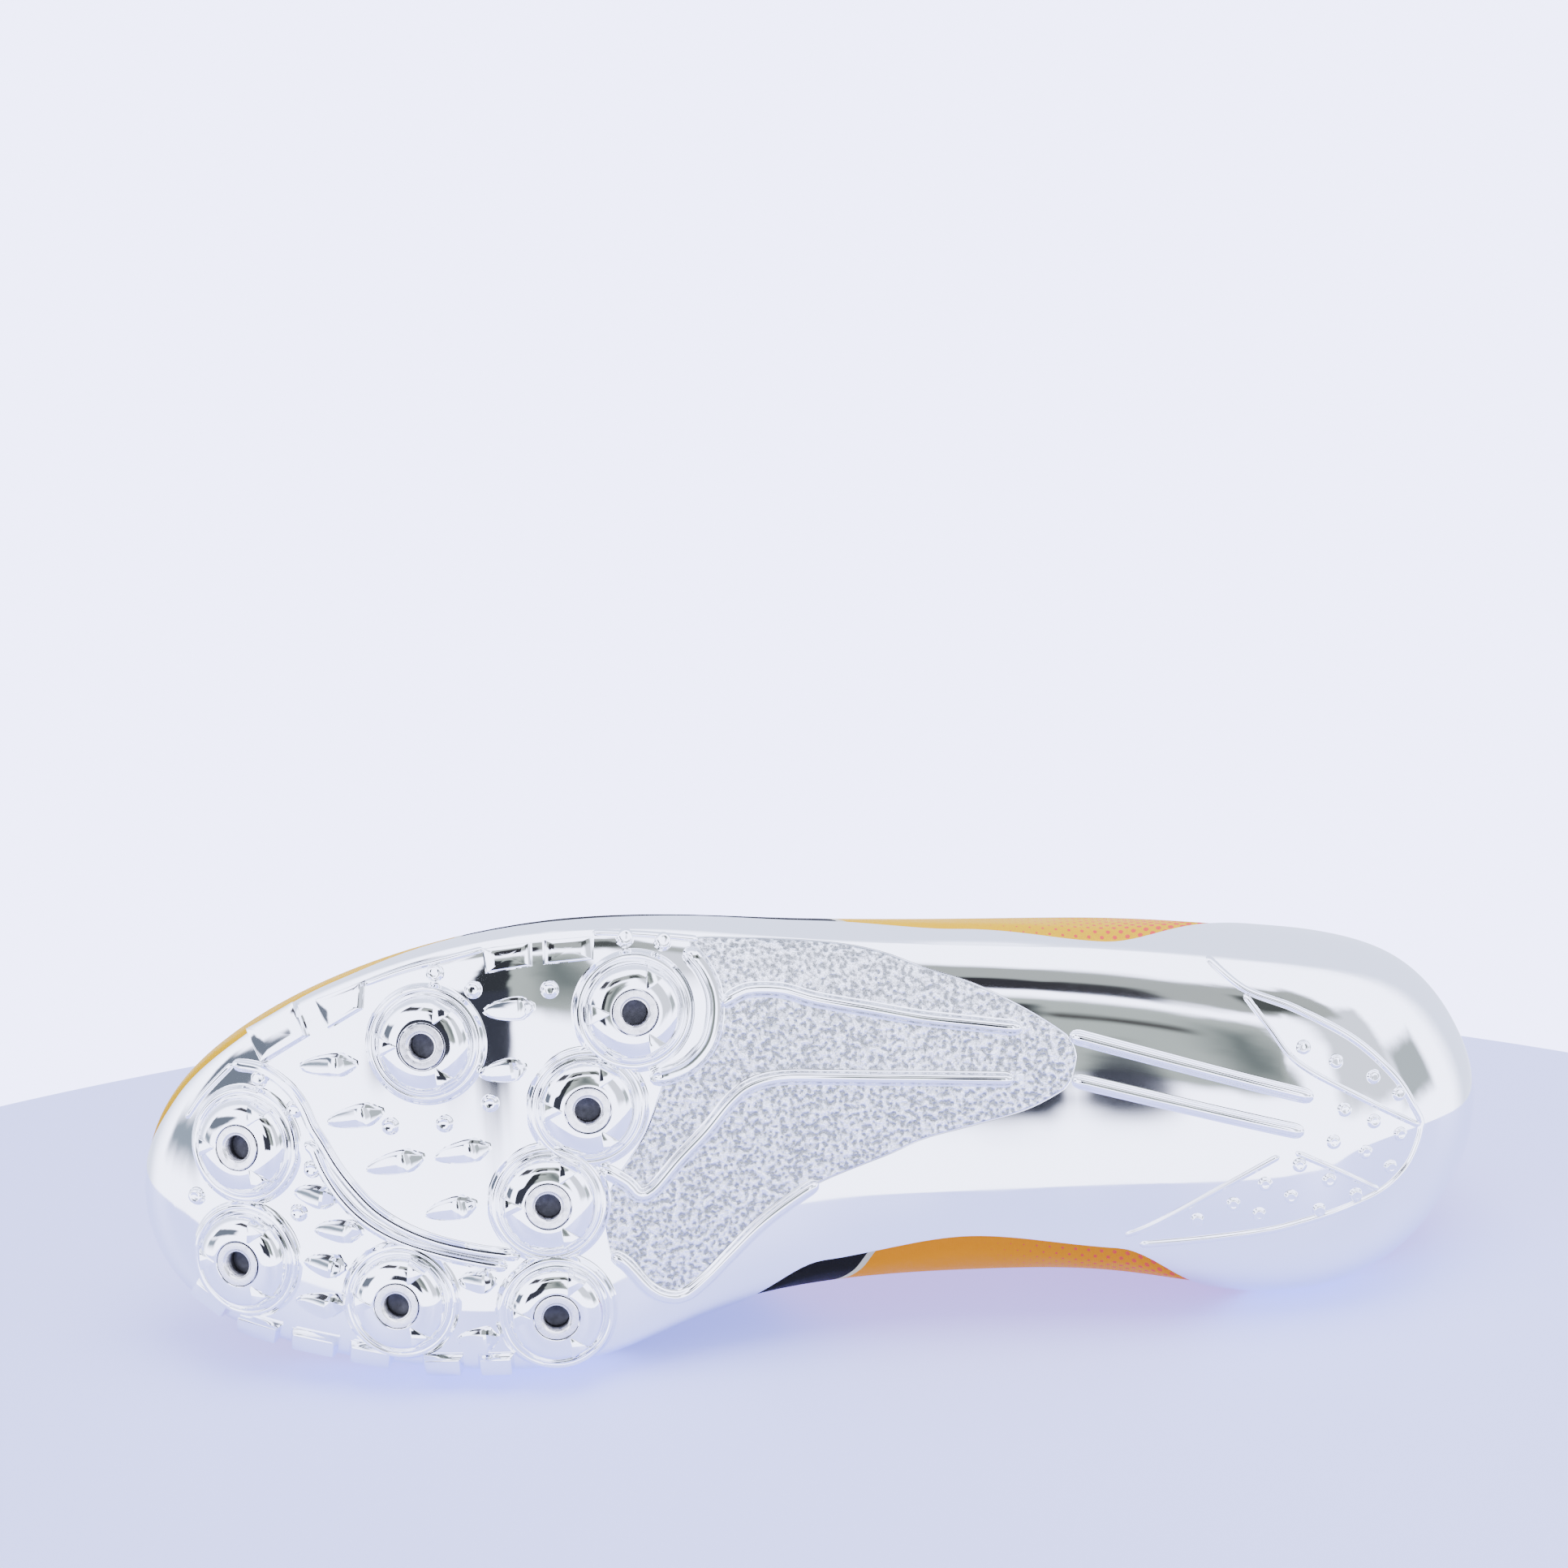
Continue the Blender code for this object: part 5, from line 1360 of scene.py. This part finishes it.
camera = make_camera()
camera_way = camera.matrix_world.to_3x3() @ Vector((0, 0, 1))
down = degrees(np.arcsin(camera_way.z))
print("camera height:", round(camera.location.z, 4), "looks down", round(down, 2))

# %% [markdown]
# The shoe lies on a round pale table that glows a little. Plating mirrors a bright tent with dark
# forms in it, as a studio has: they are what tells that it is a mirror. The camera itself sees a
# plain pale wall, and cloth gets a softer, even light that keeps its colours.

# %% Table
TABLE_RADIUS = 0.407
TABLE_MIDDLE = (-0.037, -0.263)
TABLE_GLOW = (0.42, 0.50, 2.00)


def make_table():
    bpy.ops.object.select_all(action="DESELECT")
    bpy.ops.mesh.primitive_circle_add(vertices=256, radius=TABLE_RADIUS, fill_type="NGON",
                                      location=(*TABLE_MIDDLE, 0))
    table = bpy.context.object
    table.name = "table"
    material, r, shader = new_material("pale_table", (0.66, 0.70, 0.88), 0.0, 0.42)
    grain = r.noise(r.place(), 6.0, 2.0)
    r.link(r.mix(grain, (0.64, 0.68, 0.86), (0.68, 0.72, 0.90)), shader.inputs["Base Color"])
    shader.inputs["Emission Color"].default_value = (*TABLE_GLOW, 1)
    shader.inputs["Emission Strength"].default_value = 1.0
    table.visible_diffuse = False
    table.data.materials.append(material)
    return table


make_table()

# %% Light
WALL_COLOUR = (4.6, 4.7, 7.6)
TENT_COLOUR = (5.2, 5.4, 7.0)
SOFT_LIGHT = (0.95, 0.95, 0.98)
# Dark forms of the studio, as the plating shows them: degrees to the right of the camera and
# above the table, half-width and half-height, softness of the edge, colour
DARK_FORMS = (
    (180, 30, 75, 60, 14.0, (2.0, 2.2, 3.0)),
    (-180, 30, 75, 60, 14.0, (2.0, 2.2, 3.0)),
    (38, 28, 15, 20, 3.0, (1.5, 1.6, 1.9)),
    (6, 52, 34, 9, 2.0, (0.62, 0.68, 0.68)),
    (-8, 46, 9, 4, 1.0, (0.05, 0.05, 0.06)),
    (22, 50, 8, 5, 1.5, (0.10, 0.11, 0.11)),
    (-3, 25, 14, 13, 1.5, (0.70, 0.79, 0.77)),
    (4, 24, 4, 9, 4.0, (0.22, 0.26, 0.26)),
    (-4, 30, 3, 1.2, 1.0, (0.10, 0.10, 0.10)),
    (-17, 13, 11, 6, 0.8, (0.055, 0.060, 0.085)),
    (-12, 26, 5, 9, 0.8, (0.045, 0.050, 0.060)),
    (-68, 17, 17, 7, 2.0, (0.22, 0.26, 0.34)),
    (-78, 4, 12, 4, 3.0, (0.42, 0.52, 0.66)),
    (-52, 52, 20, 8, 3.0, (0.10, 0.10, 0.12)),
    (66, 12, 13, 9, 4.0, (0.70, 0.80, 0.86)),
)
RIPPLE = 0.06
LAMP_PLACE, LAMP_POWER, LAMP_SIZE = (0.1, -0.1, 0.9), 8.0, 0.7


def make_light():
    """The camera sees a pale wall, mirrors see a bright tent with dark forms, cloth a soft light."""
    world = bpy.data.worlds.new("studio")
    bpy.context.scene.world = world
    world.use_nodes = True
    r = Recipe(world.node_tree)
    base = world.node_tree.nodes["Background"]
    way = r.add("ShaderNodeTexCoord", out=0)
    ripple = r.noise(way, 9.0, 3.0, out=1)
    ripple = r.add("ShaderNodeVectorMath", {0: ripple, 1: (0.5, 0.5, 0.5)}, operation="SUBTRACT")
    ripple = r.add("ShaderNodeVectorMath", {0: ripple, 3: RIPPLE}, operation="SCALE")
    bent = r.add("ShaderNodeVectorMath", {0: way, 1: ripple}, operation="ADD")
    x, y, z = r.split(bent)
    azimuth = r.math("DEGREES", r.math("ARCTAN2", x, r.math("MULTIPLY", y, -1.0)))
    height = r.math("DEGREES", r.math("ARCSINE", z))
    tent = TENT_COLOUR
    for right, up, wide, high, soft, colour in DARK_FORMS:
        across = r.math("SUBTRACT", r.math("ABSOLUTE", r.math("SUBTRACT", azimuth, right)), wide)
        down = r.math("SUBTRACT", r.math("ABSOLUTE", r.math("SUBTRACT", height, up)), high)
        outside = r.math("SMOOTH_MAX", across, down, 3.0)
        tent = r.mix(r.ramp(outside, soft, -soft), tent, colour)
    seen = r.add("ShaderNodeLightPath", out=0)
    mirrored = r.add("ShaderNodeLightPath", out=3)
    light = r.mix(mirrored, SOFT_LIGHT, tent)
    r.link(r.mix(seen, light, WALL_COLOUR), base.inputs["Color"])
    base.inputs["Strength"].default_value = 1.0
    bpy.ops.object.light_add(type="AREA", location=LAMP_PLACE)
    lamp = bpy.context.object
    lamp.data.energy, lamp.data.size = LAMP_POWER, LAMP_SIZE
    lamp.visible_glossy = False


make_light()
